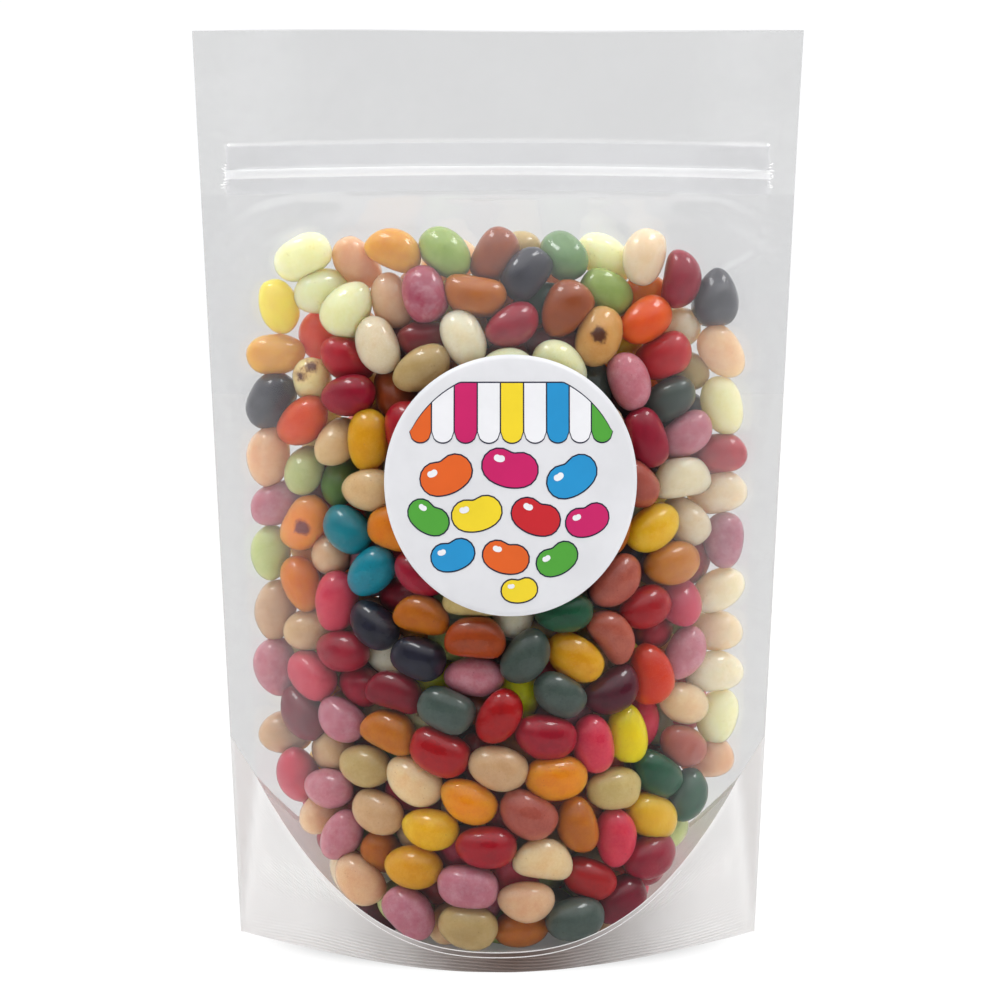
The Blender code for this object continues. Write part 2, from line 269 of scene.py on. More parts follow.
# Beans that the front shows: form, colour, x and z in millimetres, turn in degrees from +X towards +Z,
# and how many millimetres it lies behind the others
frontBeans = [
    ("block", "paleYellow", -49, 173, -20, 0), ("egg", "brightYellow", -56, 165, -45, 0),
    ("egg", "golden", -58, 152, 88, 0), ("egg", "salmon", -49, 154, 80, 5),
    ("egg", "spottedCream", -50, 144, 80, 0), ("block", "navy", -58, 139, 80, 3),
    ("drop", "paleYellow", -41, 159, -80, 2), ("egg", "peach", -38, 170, 45, 6),
    ("kidney", "golden", -28, 172, -32, 0), ("egg", "peach", -28, 162, -60, 2),
    ("egg", "cream", -30, 151, -35, 0), ("block", "magenta", -18, 163, -50, 0),
    ("egg", "peach", -14, 173, 80, 6), ("block", "brown", -2, 173, 50, 0),
    ("kidney", "caramel", -5, 162, -8, 0), ("egg", "burgundy", -18, 152, -8, 1),
    ("egg", "cream", -8, 151, 72, 1), ("egg", "khaki", -19, 144, 0, 1),
    ("egg", "red", -39, 149, 40, 5), ("egg", "crimson", -41, 139, 20, 0),
    ("egg", "brown", -29, 140, -30, 4), ("egg", "oatmeal", -41, 129, 48, 0),
    ("egg", "redOrange", -52, 131, 0, 4), ("egg", "peach", -58, 126, 80, 5),
    ("egg", "paleGreen", -51, 121, -75, 1), ("egg", "green", -39, 117, 50, 2),
    ("egg", "golden", -33, 124, 60, 2), ("egg", "rose", -28, 131, 60, 5),
    ("egg", "lilac", -56, 112, 30, 5), ("egg", "oatmeal", -33, 112, 90, 4),
    ("egg", "spottedOrange", -51, 106, 85, 0), ("egg", "teal", -37, 105, -42, 0),
    ("egg", "paleGreen", -58, 103, 80, 6), ("egg", "peach", -43, 98, 0, 4),
    ("egg", "orange", -52, 92, 85, 0), ("egg", "teal", -30, 94, 22, 0),
    ("egg", "pink", -42, 88, 62, 0), ("egg", "oatmeal", -52, 83, 80, 6),
    ("egg", "navy", -31, 82, -22, 0), ("kidney", "caramel", -19, 84, -5, 0),
    ("egg", "oatmeal", -44, 78, 30, 5), ("kidney", "terracotta", -5, 79, -20, 0),
    ("egg", "lilac", -54, 70, 60, 4), ("egg", "crimson", -40, 72, 25, 0),
    ("kidney", "burgundy", -26, 67, -45, 0), ("block", "navy", -17, 75, 0, 0),
    ("egg", "lilac", -3, 69, 20, 2), ("egg", "golden", -47, 63, 0, 4),
    ("egg", "oatmeal", -51, 54, 30, 5), ("egg", "lilac", -38, 58, -5, 0),
    ("kidney", "caramel", -24, 57, 0, 1), ("block", "slate", -10, 61, 0, 0),
    ("block", "crimson", -11, 52, 0, 1), ("egg", "khaki", -31, 49, -12, 0),
    ("egg", "oatmeal", -43, 48, 45, 3), ("block", "navy", 6, 167, 60, 0),
    ("block", "sage", 14, 173, -45, 0), ("egg", "paleYellow", 28, 170, 0, 6),
    ("egg", "cream", 40, 167, -25, 6), ("drop", "navy", 57, 168, -60, 0),
    ("kidney", "crimson", 50, 163, -50, 0), ("drop", "brown", 15, 158, 90, 0),
    ("block", "lime", 26, 162, -8, 3), ("egg", "darkGreen", 10, 161, 20, 5),
    ("egg", "crimson", 4, 155, 85, 3), ("egg", "spottedTan", 26, 151, 75, 1),
    ("egg", "redOrange", 37, 155, 64, 0), ("egg", "orange", 45, 158, 0, 6),
    ("egg", "red", 46, 149, 85, 1), ("egg", "peach", 55, 152, 75, 4),
    ("egg", "khaki", 50, 143, 30, 6), ("egg", "lilac", 33, 141, 85, 2),
    ("egg", "slate", 26, 139, 40, 5), ("egg", "slate", 42, 137, 80, 1),
    ("egg", "navy", 51, 137, 20, 5), ("egg", "paleYellow", 58, 138, 85, 3),
    ("egg", "crimson", 38, 127, -35, 1), ("egg", "lilac", 49, 128, 62, 0),
    ("egg", "red", 56, 124, 6, 1), ("egg", "burgundy", 15, 149, 0, 5),
    ("egg", "rose", 36, 114, 85, 2), ("kidney", "cream", 47, 115, -25, 0),
    ("egg", "cream", 57, 113, 85, 2), ("egg", "golden", 38, 104, 12, 0),
    ("egg", "cream", 49, 104, -12, 0), ("egg", "lilac", 58, 103, 80, 6),
    ("egg", "caramel", 42, 96, 75, 0), ("egg", "crimson", 54, 96, -12, 1),
    ("egg", "rose", 28, 93, 25, 1), ("egg", "crimson", 36, 87, 20, 2),
    ("egg", "pink", 46, 86, 52, 0), ("egg", "cream", 57, 89, 85, 5),
    ("egg", "cream", 55, 80, 40, 2), ("egg", "crimson", 39, 78, 0, 3),
    ("egg", "darkGreen", 17, 85, 0, 2), ("kidney", "rose", 25, 82, 80, 0),
    ("egg", "lilac", 46, 75, 0, 2), ("egg", "slate", 8, 75, 10, 2),
    ("egg", "golden", 18, 75, -65, 0), ("drop", "redOrange", 39, 67, -18, 0),
    ("egg", "cream", 52, 69, 30, 1), ("kidney", "plum", 27, 64, 0, 1),
    ("egg", "slate", 12, 65, -12, 0), ("egg", "crimson", 2, 61, 85, 3),
    ("egg", "pink", 37, 56, 45, 0), ("egg", "pink", 53, 58, 85, 2),
    ("egg", "crimson", 12, 55, 0, 1), ("egg", "pink", 22, 53, -25, 1),
    ("egg", "rose", 48, 49, -8, 1), ("egg", "oatmeal", 2, 49, -78, 0),
    ("egg", "orange", 14, 45, 12, 0), ("egg", "khaki", 27, 43, 78, 0),
    ("egg", "darkGreen", 37, 44, -35, 2), ("egg", "darkGreen", 46, 39, 55, 1),
    ("egg", "golden", 36, 35, -35, 1), ("egg", "rose", 6, 37, -20, 2),
    ("egg", "caramel", 17, 35, -50, 1), ("egg", "pink", 27, 30, 38, 0),
    ("egg", "peach", 55, 41, 0, 4), ("egg", "paleGreen", 42, 26, 60, 3),
    ("kidney", "peach", 11, 27, 0, 0), ("egg", "paleYellow", 56, 50, 80, 5),
    ("egg", "brown", 34, 26, 45, 5), ("egg", "red", 1, 36, 80, 6), ("egg", "pink", -49, 41, -62, 2),
    ("egg", "lilac", -40, 41, 0, 1), ("egg", "peach", -18, 43, -25, 1),
    ("egg", "orange", -6, 41, -35, 0), ("egg", "oatmeal", -28, 36, -62, 0),
    ("egg", "peach", -44, 30, 85, 3), ("egg", "lilac", -36, 31, 70, 2),
    ("egg", "golden", -14, 32, -6, 0), ("egg", "crimson", -2, 30, 60, 1),
    ("egg", "caramel", -28, 24, 60, 2), ("egg", "golden", -18, 25, -30, 1),
    ("egg", "peach", -32, 17, -28, 0), ("egg", "lilac", -21, 15, 85, 2),
    ("block", "lilac", -5, 22, -8, 0), ("egg", "khaki", -5, 11, -45, 0),
    ("egg", "slate", 17, 12, -5, 0), ("egg", "crimson", 21, 20, -15, 2),
    ("egg", "crimson", 34, 21, -5, 0), ("egg", "burgundy", 28, 12, 20, 2),
    ("egg", "peach", 7, 18, 40, 3), ("egg", "paleYellow", -47, 164, 10, 8),
    ("egg", "peach", -40, 152, 60, 10), ("egg", "cream", 47, 156, 30, 10),
    ("egg", "cream", -47, 131, 60, 9), ("egg", "peach", -50, 101, 80, 9),
    ("egg", "paleYellow", -50, 73, 80, 9), ("egg", "oatmeal", -39, 66, 20, 10),
    ("egg", "caramel", 6, 10, 0, 2), ("egg", "crimson", -6, 52, 80, 6),
    ("egg", "red", 17, 49, 30, 6),
]


def heapFloor(x, y):
    corner = fade(np.abs(x), beanFill["cornerStart"], beanFill["cornerWidth"])
    sheet = gussetHeight(x, y)
    return sheet + (seamHeight(x) + beanFill["cornerLift"] - sheet) * corner


lattice = {
    "pitch": 0.0135,
    "narrowing": 0.00004,      # until enough beans fit
    "reach": (0.072, 0.036),
    "lowest": 0.004,
    "wallShare": 0.9,
    "shake": 0.0012,
}


def latticePlaces(rng):
    count, inset = beanFill["count"], beanFill["ballRadius"]
    across, deep = lattice["reach"]
    pitch = lattice["pitch"]
    while True:
        pitch -= lattice["narrowing"]
        rows = []                            # closely packed layers, one above the other
        for layer, z in enumerate(np.arange(lattice["lowest"], beanFill["top"], pitch * 0.8165)):
            for line, y in enumerate(np.arange(-deep, deep, pitch * 0.866)):
                shift = pitch / 2 * ((line + layer) % 2)
                for x in np.arange(-across + shift, across, pitch):
                    rows.append((x, y + pitch * 0.2887 * (layer % 2), z))
        places = np.array(rows)
        x, y, z = places.T
        inside = filmDepth(x, z) - np.abs(y) > inset * lattice["wallShare"]
        inside &= z > heapFloor(x, y) + inset * lattice["wallShare"]
        inside &= z < beanFill["top"] - inset
        if inside.sum() >= count:
            places = places[inside]
            keep = rng.permutation(len(places))[:count]
            return places[np.sort(keep)] + rng.uniform(-lattice["shake"], lattice["shake"], (count, 3))


def wallPushes(balls, radius):
    x, y, z = balls[..., 0], balls[..., 1], balls[..., 2]
    pushes = np.zeros_like(balls)
    for side in (-1, 1):
        normals = filmNormals(x, z, side)
        gap = (filmDepth(x, z) - side * y) * np.abs(normals[..., 1])
        pushes -= normals * np.maximum(radius - gap, 0)[..., None]
    slopeX, slopeY = slopesOf(heapFloor, x, y)
    upward = np.stack([-slopeX, -slopeY, np.ones_like(x)], -1)
    upward /= np.linalg.norm(upward, axis=-1, keepdims=True)
    gap = (z - heapFloor(x, y)) * upward[..., 2]
    pushes += upward * np.maximum(radius - gap, 0)[..., None]
    pushes[..., 2] -= np.maximum(z + radius - beanFill["top"] - beanFill["topGap"], 0)
    return pushes


def nearFilm(middles, side):
    normals = filmNormals(middles[:, 0], middles[:, 2], side)
    gap = (filmDepth(middles[:, 0], middles[:, 2]) - side * middles[:, 1]) * np.abs(normals[:, 1])
    return gap, normals


def heldBeans(radius):
    targets, axes = [], []
    for _, _, x, z, turn, behind in frontBeans:
        x, z = x / 1000, z / 1000
        normal = filmNormals(np.array(x), np.array(z), -1)
        inset = (radius + behind / 1000) / abs(normal[1])
        along = np.array([math.cos(math.radians(turn)), 0, math.sin(math.radians(turn))])
        along -= normal * (along @ normal)
        targets.append((x, -max(float(filmDepth(x, z)) - inset, -beanFill["deepest"]), z))
        axes.append(along / np.linalg.norm(along))
    return np.array(targets), np.array(axes)


# Beans start on a shaken lattice and swell while they push each other and the film apart
def packBeans(rng):
    radius, spread, steps = beanFill["ballRadius"], beanFill["ballSpread"], beanFill["steps"]
    targets, targetAxes = heldBeans(radius)
    held = len(targets)
    loose = latticePlaces(rng)
    apart = np.linalg.norm(loose[:, None] - targets[None], axis=-1)
    taken = set()
    for row in apart.T:                      # each held bean takes the place of the nearest loose one
        taken.add([index for index in np.argsort(row) if index not in taken][0])
    loose = loose[[index for index in range(len(loose)) if index not in taken]]
    looseAxes = rng.normal(size=loose.shape)
    middles = np.concatenate([targets, loose])
    axes = np.concatenate([targetAxes, looseAxes / np.linalg.norm(looseAxes, axis=1, keepdims=True)])
    offsets = np.array([-spread, 0, spread])
    small, swell = beanFill["swell"]
    for step in range(steps):
        if step % beanFill["pairEvery"] == 0:
            gaps = np.linalg.norm(middles[:, None] - middles[None], axis=-1)
            near = gaps < 2 * (radius + spread) + beanFill["pairGap"]
            first, second = np.nonzero(np.triu(near, 1))
        size = radius * min(small + swell * step / (steps * beanFill["growth"]), 1)
        balls = middles[:, None] + offsets[None, :, None] * axes[:, None]
        between = balls[first][:, :, None] - balls[second][:, None]
        distance = np.linalg.norm(between, axis=-1) + 1e-9
        shove = between * (np.maximum(2 * size - distance, 0) * 0.5 / distance)[..., None]
        moves = wallPushes(balls, size)
        moves[:held, :, 0] *= beanFill["sideGive"]
        np.add.at(moves, first, shove.sum(2))
        np.add.at(moves, second, -shove.sum(1))
        drift = moves.sum(1) * beanFill["ease"]
        swing = (moves[:, 2] - moves[:, 0]) / (2 * spread) * beanFill["turnEase"]
        for side in (-1, 1):                 # beans beside the film lie along it
            gap, normals = nearFilm(middles, side)
            lean = (axes * normals).sum(1) * beanFill["lean"] * (gap < radius * beanFill["leanReach"])
            swing -= normals * lean[:, None]
        if step < steps * beanFill["release"]:
            pull = (targets - middles[:held]) * beanFill["hold"]
            pull[:, 1] *= beanFill["holdDeep"]
            drift[:held] += pull
            swing[:held] += (targetAxes - axes[:held]) * beanFill["holdTurn"]
        middles = middles + drift
        axes = axes + swing
        axes /= np.linalg.norm(axes, axis=1, keepdims=True)
    overlap = np.maximum(2 * radius - distance, 0).max((1, 2))
    astray = np.linalg.norm((middles[:held] - targets)[:, [0, 2]], axis=1)
    print(f"beans {len(middles)}, worst overlap {overlap.max() * 1000:.2f} mm, "
          f"mean {overlap[overlap > 0].mean() * 1000:.2f} mm, highest {middles[:, 2].max() * 1000:.0f} mm, "
          f"astray {astray.mean() * 1000:.1f} mm")
    return middles, axes, first, second


# The beans themselves

beanForms = {
    "egg": {"size": (0.0151, 0.0107, 0.0100), "bend": 0.05, "taper": 0.06, "waist": 0.00,
            "squareness": 2.05, "share": 10},
    "kidney": {"size": (0.0158, 0.0106, 0.0100), "bend": 0.17, "taper": 0.05, "waist": 0.03,
               "squareness": 2.1, "share": 4},
    "block": {"size": (0.0148, 0.0109, 0.0100), "bend": 0.03, "taper": 0.03, "waist": 0.00,
              "squareness": 2.45, "share": 3},
    "drop": {"size": (0.0152, 0.0118, 0.0103), "bend": 0.04, "taper": 0.26, "waist": 0.00,
             "squareness": 2.1, "share": 1},
}
beanDetail = 8               # faces along one side of the ball that a bean is drawn from

# How one bean differs from the next; lumps and dents are so many waves, so close, from low to high
beanVaries = {
    "squareness": (-0.1, 0.15),
    "lumps": (4, 2.1, (0.004, 0.013)),
    "dents": (5, 4.2, (0.0015, 0.0045)),
    "size": (0.94, 1.05),
    "sides": (0.97, 1.03),
    "taper": 0.04,
    "bend": 0.03,
}

# How a bean is moved and pressed into the room it has
beanFit = {
    "filmGap": 0.0001,
    "floorGap": 0.0002,
    "moveIn": 0.9,             # how far a bean moves, as a share of what lies outside the film
    "moveUp": 0.7,             # or under the floor
    "faceFilm": 0.009,         # nearer to the film than this, a bean's flat side faces it
    "flatGap": 0.00012,
    "flatShare": 0.7,
    "inset": 0.0005,           # beside the seam, points stay this far inside the film's form,
    "bulge": 0.0011,           # and above it they may lie this much further out
    "bulgeRise": (0.002, 0.006),
    "lowest": 0.0009,
    "edge": (0.047, 0.165),    # beyond these, across and up, pale colours are more frequent
    "pale": ("cream", "paleYellow", "peach", "paleGreen"),
    "paleShare": 1.7,
}

# Screen colours of the shells; deep is the shaded tone in the mottling, share how often one turns up
candyColours = {
    "crimson": {"tone": (160, 38, 50), "deep": (124, 22, 36), "share": 10},
    "burgundy": {"tone": (128, 30, 42), "deep": (96, 18, 30), "share": 5},
    "red": {"tone": (186, 42, 48), "deep": (148, 24, 34), "share": 6},
    "redOrange": {"tone": (216, 84, 48), "deep": (190, 58, 36), "share": 3},
    "pink": {"tone": (198, 90, 106), "deep": (172, 62, 84), "share": 7},
    "magenta": {"tone": (172, 90, 104), "deep": (140, 56, 78), "share": 2, "bloom": 0.16},
    "lilac": {"tone": (188, 128, 140), "deep": (162, 98, 110), "share": 6, "bloom": 0.12},
    "salmon": {"tone": (238, 130, 108), "deep": (214, 98, 80), "share": 4},
    "peach": {"tone": (228, 192, 160), "deep": (212, 164, 132), "share": 8},
    "cream": {"tone": (236, 218, 192), "deep": (220, 194, 162), "share": 8},
    "oatmeal": {"tone": (206, 176, 142), "deep": (184, 150, 114), "share": 6},
    "paleYellow": {"tone": (245, 241, 196), "deep": (236, 228, 164), "share": 8},
    "brightYellow": {"tone": (242, 218, 84), "deep": (228, 194, 52), "share": 2},
    "golden": {"tone": (222, 174, 92), "deep": (200, 144, 62), "share": 6},
    "orange": {"tone": (218, 132, 52), "deep": (198, 104, 36), "share": 6},
    "caramel": {"tone": (186, 122, 68), "deep": (160, 92, 48), "share": 4},
    "terracotta": {"tone": (152, 66, 42), "deep": (120, 48, 30), "share": 2},
    "brown": {"tone": (152, 86, 58), "deep": (124, 62, 42), "share": 2},
    "teal": {"tone": (36, 130, 146), "deep": (20, 102, 120), "share": 1},
    "green": {"tone": (88, 114, 60), "deep": (62, 90, 44), "share": 2},
    "darkGreen": {"tone": (30, 84, 58), "deep": (20, 60, 42), "share": 2},
    "sage": {"tone": (112, 140, 98), "deep": (84, 112, 72), "share": 1},
    "lime": {"tone": (156, 178, 104), "deep": (128, 154, 80), "share": 1},
    "paleGreen": {"tone": (188, 196, 140), "deep": (164, 176, 110), "share": 3},
    "slate": {"tone": (74, 86, 80), "deep": (52, 64, 60), "share": 3},
    "navy": {"tone": (38, 37, 52), "deep": (25, 25, 38), "share": 3},
    "plum": {"tone": (84, 32, 44), "deep": (58, 20, 32), "share": 2},
    "khaki": {"tone": (190, 170, 126), "deep": (168, 146, 98), "share": 4},
    "rose": {"tone": (170, 102, 92), "deep": (140, 74, 70), "share": 4},
    "spottedTan": {"tone": (214, 172, 118), "deep": (194, 146, 92), "share": 0, "spots": (78, 36, 20)},
    "spottedCream": {"tone": (240, 212, 164), "deep": (226, 186, 134), "share": 1, "spots": (84, 38, 18)},
    "spottedOrange": {"tone": (238, 140, 68), "deep": (220, 110, 48), "share": 0, "spots": (110, 20, 26)},
}


def roundedCube(detail):
    work = bmesh.new()
    bmesh.ops.create_cube(work, size=2)
    bmesh.ops.subdivide_edges(work, edges=work.edges, cuts=detail - 1, use_grid_fill=True)
    points = np.tan(np.array([vert.co for vert in work.verts]) * math.pi / 4)
    faces = np.array([[vert.index for vert in face.verts] for face in work.faces])
    work.free()
    return points / np.linalg.norm(points, axis=1, keepdims=True), faces


def waves(ball, rng, count, closeness):
    total = np.zeros(len(ball))
    for _ in range(count):
        total += np.sin(ball @ rng.normal(0, closeness, 3) + rng.uniform(0, 6.28))
    return total


def shapeBean(ball, form, rng):
    squareness = form["squareness"] + rng.uniform(*beanVaries["squareness"])
    points = ball / (np.abs(ball) ** squareness).sum(1, keepdims=True) ** (1 / squareness)
    uneven = [waves(ball, rng, *beanVaries[name][:2])[:, None] for name in ("lumps", "dents")]
    lumps, dents = [rng.uniform(*beanVaries[name][2]) for name in ("lumps", "dents")]
    points *= 1 + lumps * uneven[0] + dents * uneven[1]
    size = np.array(form["size"]) * rng.uniform(*beanVaries["size"])
    length, width, thickness = size * rng.uniform(*beanVaries["sides"], 3)
    along = points[:, 0]
    taper = form["taper"] + rng.uniform(-beanVaries["taper"], beanVaries["taper"])
    girth = (1 + taper * along) * (1 - form["waist"] * (1 - along ** 2) ** 2)
    bend = form["bend"] + rng.uniform(-beanVaries["bend"], beanVaries["bend"])
    across = points[:, 1] * girth * width / 2 + bend * (along ** 2 - 0.4) * width
    through = points[:, 2] * girth * thickness / 2
    return np.stack([along * length / 2, across, through], 1)


def facingOf(middle, axis, rng):
    facing = rng.normal(size=3)
    for side in (-1, 1):
        gap, normals = nearFilm(middle[None], side)
        if gap[0] < beanFit["faceFilm"]:
            facing = normals[0] * 3 + rng.normal(size=3) * 0.5
    facing -= axis * (facing @ axis)
    return facing / np.linalg.norm(facing)


# Gives a bean's points in place, the shift that fits it in, and whether it came out mirrored
def placeBean(ball, formName, middle, axis, rng):
    facing = facingOf(middle, axis, rng)
    points = shapeBean(ball, beanForms[formName], rng)
    points[:, 1] *= rng.choice((-1, 1)) if formName != "egg" else 1
    mirrored = points[:, 1] @ ball[:, 1] < 0
    points = middle + points @ np.array([axis, np.cross(facing, axis), facing])
    limit = filmDepth(points[:, 0], points[:, 2]) - beanFit["filmGap"]
    over = [max((side * points[:, 1] - limit).max(), 0) for side in (-1, 1)]
    low = heapFloor(points[:, 0], points[:, 1]) + beanFit["floorGap"] - points[:, 2]
    shift = np.array([0, (over[0] - over[1]) * beanFit["moveIn"], max(low.max(), 0) * beanFit["moveUp"]])
    return points + shift, shift, mirrored


# Neighbours press small flats into each other, and the film and the floor hold all beans in
def pressBeans(shapes, middles, axes, first, second):
    offsets = np.array([-1, 0, 1]) * beanFill["ballSpread"]
    balls = middles[:, None] + offsets[None, :, None] * axes[:, None]
    touching = [[] for _ in middles]
    for one, other in zip(first, second):
        touching[one].append(other)
        touching[other].append(one)
    for index, (points, _) in enumerate(shapes):
        for other in touching[index]:        # from the middle between the two nearest balls
            between = balls[other][None] - balls[index][:, None]
            distance = np.linalg.norm(between, axis=-1)
            mine, theirs = np.unravel_index(distance.argmin(), distance.shape)
            direction = between[mine, theirs] / distance[mine, theirs]
            past = (points - balls[index][mine]) @ direction - distance[mine, theirs] / 2
            past = np.maximum(past - beanFit["flatGap"], 0)
            points -= past[:, None] * direction * beanFit["flatShare"]
        start, width = beanFit["bulgeRise"]
        above = fade(points[:, 2] - seamHeight(points[:, 0]), start, width)
        limit = filmDepth(points[:, 0], points[:, 2]) + beanFit["bulge"] * above - beanFit["inset"]
        points[:, 1] = np.clip(points[:, 1], -limit, limit)
        points[:, 2] = np.maximum(points[:, 2], beanFit["lowest"])


def makeBeans(rng):
    middles, axes, first, second = packBeans(rng)
    report("beans packed")
    ball, faces = roundedCube(beanDetail)
    formNames = [name for name, form in beanForms.items() for _ in range(form["share"])]
    colourNames = list(candyColours)
    shares = np.array([candyColours[name]["share"] for name in colourNames], float)
    pale = np.array([name in beanFit["pale"] for name in colourNames])
    shapes, colours = [], []
    for index, (middle, axis) in enumerate(zip(middles, axes)):
        outside = abs(middle[0]) > beanFit["edge"][0] or middle[2] > beanFit["edge"][1]
        weights = shares * np.where(pale & outside, beanFit["paleShare"], 1.0)
        colourName = colourNames[rng.choice(len(colourNames), p=weights / weights.sum())]
        formName = formNames[rng.integers(len(formNames))]
        if index < len(frontBeans):
            formName, colourName = frontBeans[index][:2]
        points, shift, mirrored = placeBean(ball, formName, middle, axis, rng)
        middles[index] += shift
        shapes.append((points, mirrored))
        colours.append(colourName)
    pressBeans(shapes, middles, axes, first, second)
    return shapes, colours, rng.random(len(shapes)), faces


# One or two burnt blots on the front of a bean
def blotMask(points, seed):
    rng = np.random.default_rng(seed)
    middle = points.mean(0)
    mask = np.zeros(len(points))
    for _ in range(rng.integers(1, 3)):
        spot = middle + np.array([rng.uniform(-0.0022, 0.0022), -0.0052, rng.uniform(-0.001, 0.003)])
        mask = np.maximum(mask, np.exp(-(np.linalg.norm(points - spot, axis=1) / 0.0021) ** 2))
    return mask


def addValues(piece, name, values):
    attribute = piece.data.attributes.new(name, "FLOAT", "POINT")
    attribute.data.foreach_set("value", np.asarray(values, np.float32))


def joinBeans(shapes, colours, tones, faces):
    pieces = {}
    size = len(shapes[0][0])
    for colourName in candyColours:
        members = [index for index, name in enumerate(colours) if name == colourName]
        if not members:
            continue
        quads = [(faces[:, ::-1] if shapes[index][1] else faces) + size * count
                 for count, index in enumerate(members)]
        parts = [shapes[index][0] for index in members]
        piece = makePiece("beans_" + colourName, np.concatenate(parts), np.concatenate(quads), slot="candy")
        if "spots" in candyColours[colourName]:
            masks = [blotMask(points, index) for points, index in zip(parts, members)]
            addValues(piece, "beanBlot", np.concatenate(masks))
        addValues(piece, "beanTone", np.repeat([tones[index] for index in members], size))
        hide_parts("pouch")
        pieces[colourName] = piece
    return pieces


# Noise scales are per metre, each with the values where its patches start and are full
shellLook = {
    "patches": (300, 2.0, 0.5, 0.36, 0.66),
    "flecks": (1500, 3.0, 0.7, 0.38, 0.62),
    "patchShare": 0.6,
    "lightness": (0.86, 1.10),       # from the darkest bean of a colour to the palest
    "hue": (0.494, 0.506),
    "saturation": 1.15,
    "dotScale": 900,
    "dotEdge": (0.22, 0.12),
    "dotClusters": (420, 2.0, 0.5, 0.50, 0.62),
    "dotTint": (0.55, 0.50, 0.48, 1),
    "frost": (340, 4.0, 0.7, 0.40, 0.70),
    "frostColour": (0.72, 0.68, 0.72, 1),
    "grainScale": 1500,
    "grainShare": 0.35,
    "dimpleScale": 420,
    "burntScale": 520,
    "burntEdge": (0.66, 1.08),
    "burntMost": 0.97,
    "roughness": 0.42,
    "bloomRoughness": 0.20,
    "coatRoughness": 0.045,
    "specular": 0.2,
    "glowRadius": (1.0, 0.74, 0.54),
    "glowWeight": (0.5, 0.5),        # of a dark shell, and what a pale one has more
    "glowScale": (0.006, 0.010),
    "bump": (0.18, 0.00012),
}


def patchNode(tree, place, look):
    scale, detail, roughness, low, high = look
    return rangeNode(tree, noiseNode(tree, place, scale, detail, roughness), low, high)


def makeShellGroup():
    inputs = [("Tone Color", "Color", (0.5, 0.1, 0.1, 1)), ("Deep Color", "Color", (0.3, 0.05, 0.05, 1)),
              ("Bean Tone", "Float", 0.5), ("Mottle", "Float", 0.5), ("Specks", "Float", 0.35),
              ("Bloom", "Float", 0.0)]
    tree, given = newGroup("candyShell", inputs, [("Color", "Color", None), ("Grain", "Float", None)])
    look, place = shellLook, objectPlace(tree)
    patches = times(tree, patchNode(tree, place, look["patches"]), look["patchShare"])
    flecks = times(tree, patchNode(tree, place, look["flecks"]), 1 - look["patchShare"])
    share = times(tree, mathNode(tree, "ADD", patches, flecks), given["Mottle"], clamp=True)
    brightened = addNode(tree, "ShaderNodeHueSaturation", {
        "Value": rangeNode(tree, given["Bean Tone"], 0.0, 1.0, look["lightness"]),
        "Hue": rangeNode(tree, given["Bean Tone"], 0.0, 1.0, look["hue"]),
        "Saturation": look["saturation"],
        "Color": mixColours(tree, share, given["Tone Color"], given["Deep Color"])})
    cells = addNode(tree, "ShaderNodeTexVoronoi", {"Scale": look["dotScale"], "Vector": place})
    dots = rangeNode(tree, cells.outputs["Distance"], *look["dotEdge"])
    specks = times(tree, dots, patchNode(tree, place, look["dotClusters"]))
    darker = mixColours(tree, 1.0, given["Deep Color"], look["dotTint"], "MULTIPLY")
    specks = times(tree, specks, given["Specks"], clamp=True)
    colour = mixColours(tree, specks, brightened.outputs["Color"], darker)
    frost = times(tree, patchNode(tree, place, look["frost"]), given["Bloom"], clamp=True)
    grain = times(tree, noiseNode(tree, place, look["grainScale"], 2.0, 0.6), look["grainShare"])
    return endGroup(tree, {
        "Color": mixColours(tree, frost, colour, look["frostColour"]),
        "Grain": mathNode(tree, "ADD", grain, noiseNode(tree, place, look["dimpleScale"]))})


def makeSpotsGroup():
    tree, given = newGroup("burntSpots", [("Blot", "Float", 0.5)], [("Mask", "Float", None)])
    ragged = times(tree, noiseNode(tree, objectPlace(tree), shellLook["burntScale"], 4.0, 0.7), 0.9)
    reach = mathNode(tree, "ADD", ragged, given["Blot"])
    mask = rangeNode(tree, reach, *shellLook["burntEdge"], (0.0, shellLook["burntMost"]))
    return endGroup(tree, {"Mask": mask})


def candyMaterial(name, colours, shell, spots):
    material, tree, output = newMaterial("candy_" + name)
    look, bloom = shellLook, colours.get("bloom", 0.0)
    tone = addNode(tree, "ShaderNodeAttribute", attribute_name="beanTone").outputs["Fac"]
    surface = useGroup(tree, shell, {
        "Tone Color": paint(*colours["tone"]), "Deep Color": paint(*colours["deep"]),
        "Bean Tone": tone, "Bloom": bloom})
    colour = surface["Color"]
    if "spots" in colours:
        blot = addNode(tree, "ShaderNodeAttribute", attribute_name="beanBlot").outputs["Fac"]
        mask = useGroup(tree, spots, {"Blot": blot})["Mask"]
        colour = mixColours(tree, mask, colour, paint(*colours["spots"]))
    paleness = min(max((max(colours["tone"]) / 255 - 0.5) / 0.4, 0), 1) ** 2
    shader = addNode(tree, "ShaderNodeBsdfPrincipled", {
        "Base Color": colour,
        "Roughness": look["roughness"] + look["bloomRoughness"] * bloom,
        "Specular IOR Level": look["specular"],
        "Coat Weight": 1.0 - bloom,
        "Coat Roughness": look["coatRoughness"],
        "Subsurface Radius": look["glowRadius"],
        "Subsurface Weight": look["glowWeight"][0] + look["glowWeight"][1] * paleness,
        "Subsurface Scale": look["glowScale"][0] + look["glowScale"][1] * paleness,
        "Normal": bumpNode(tree, surface["Grain"], *look["bump"])})
    tree.links.new(shader.outputs[0], output)
    return material


# Clear film over the beans

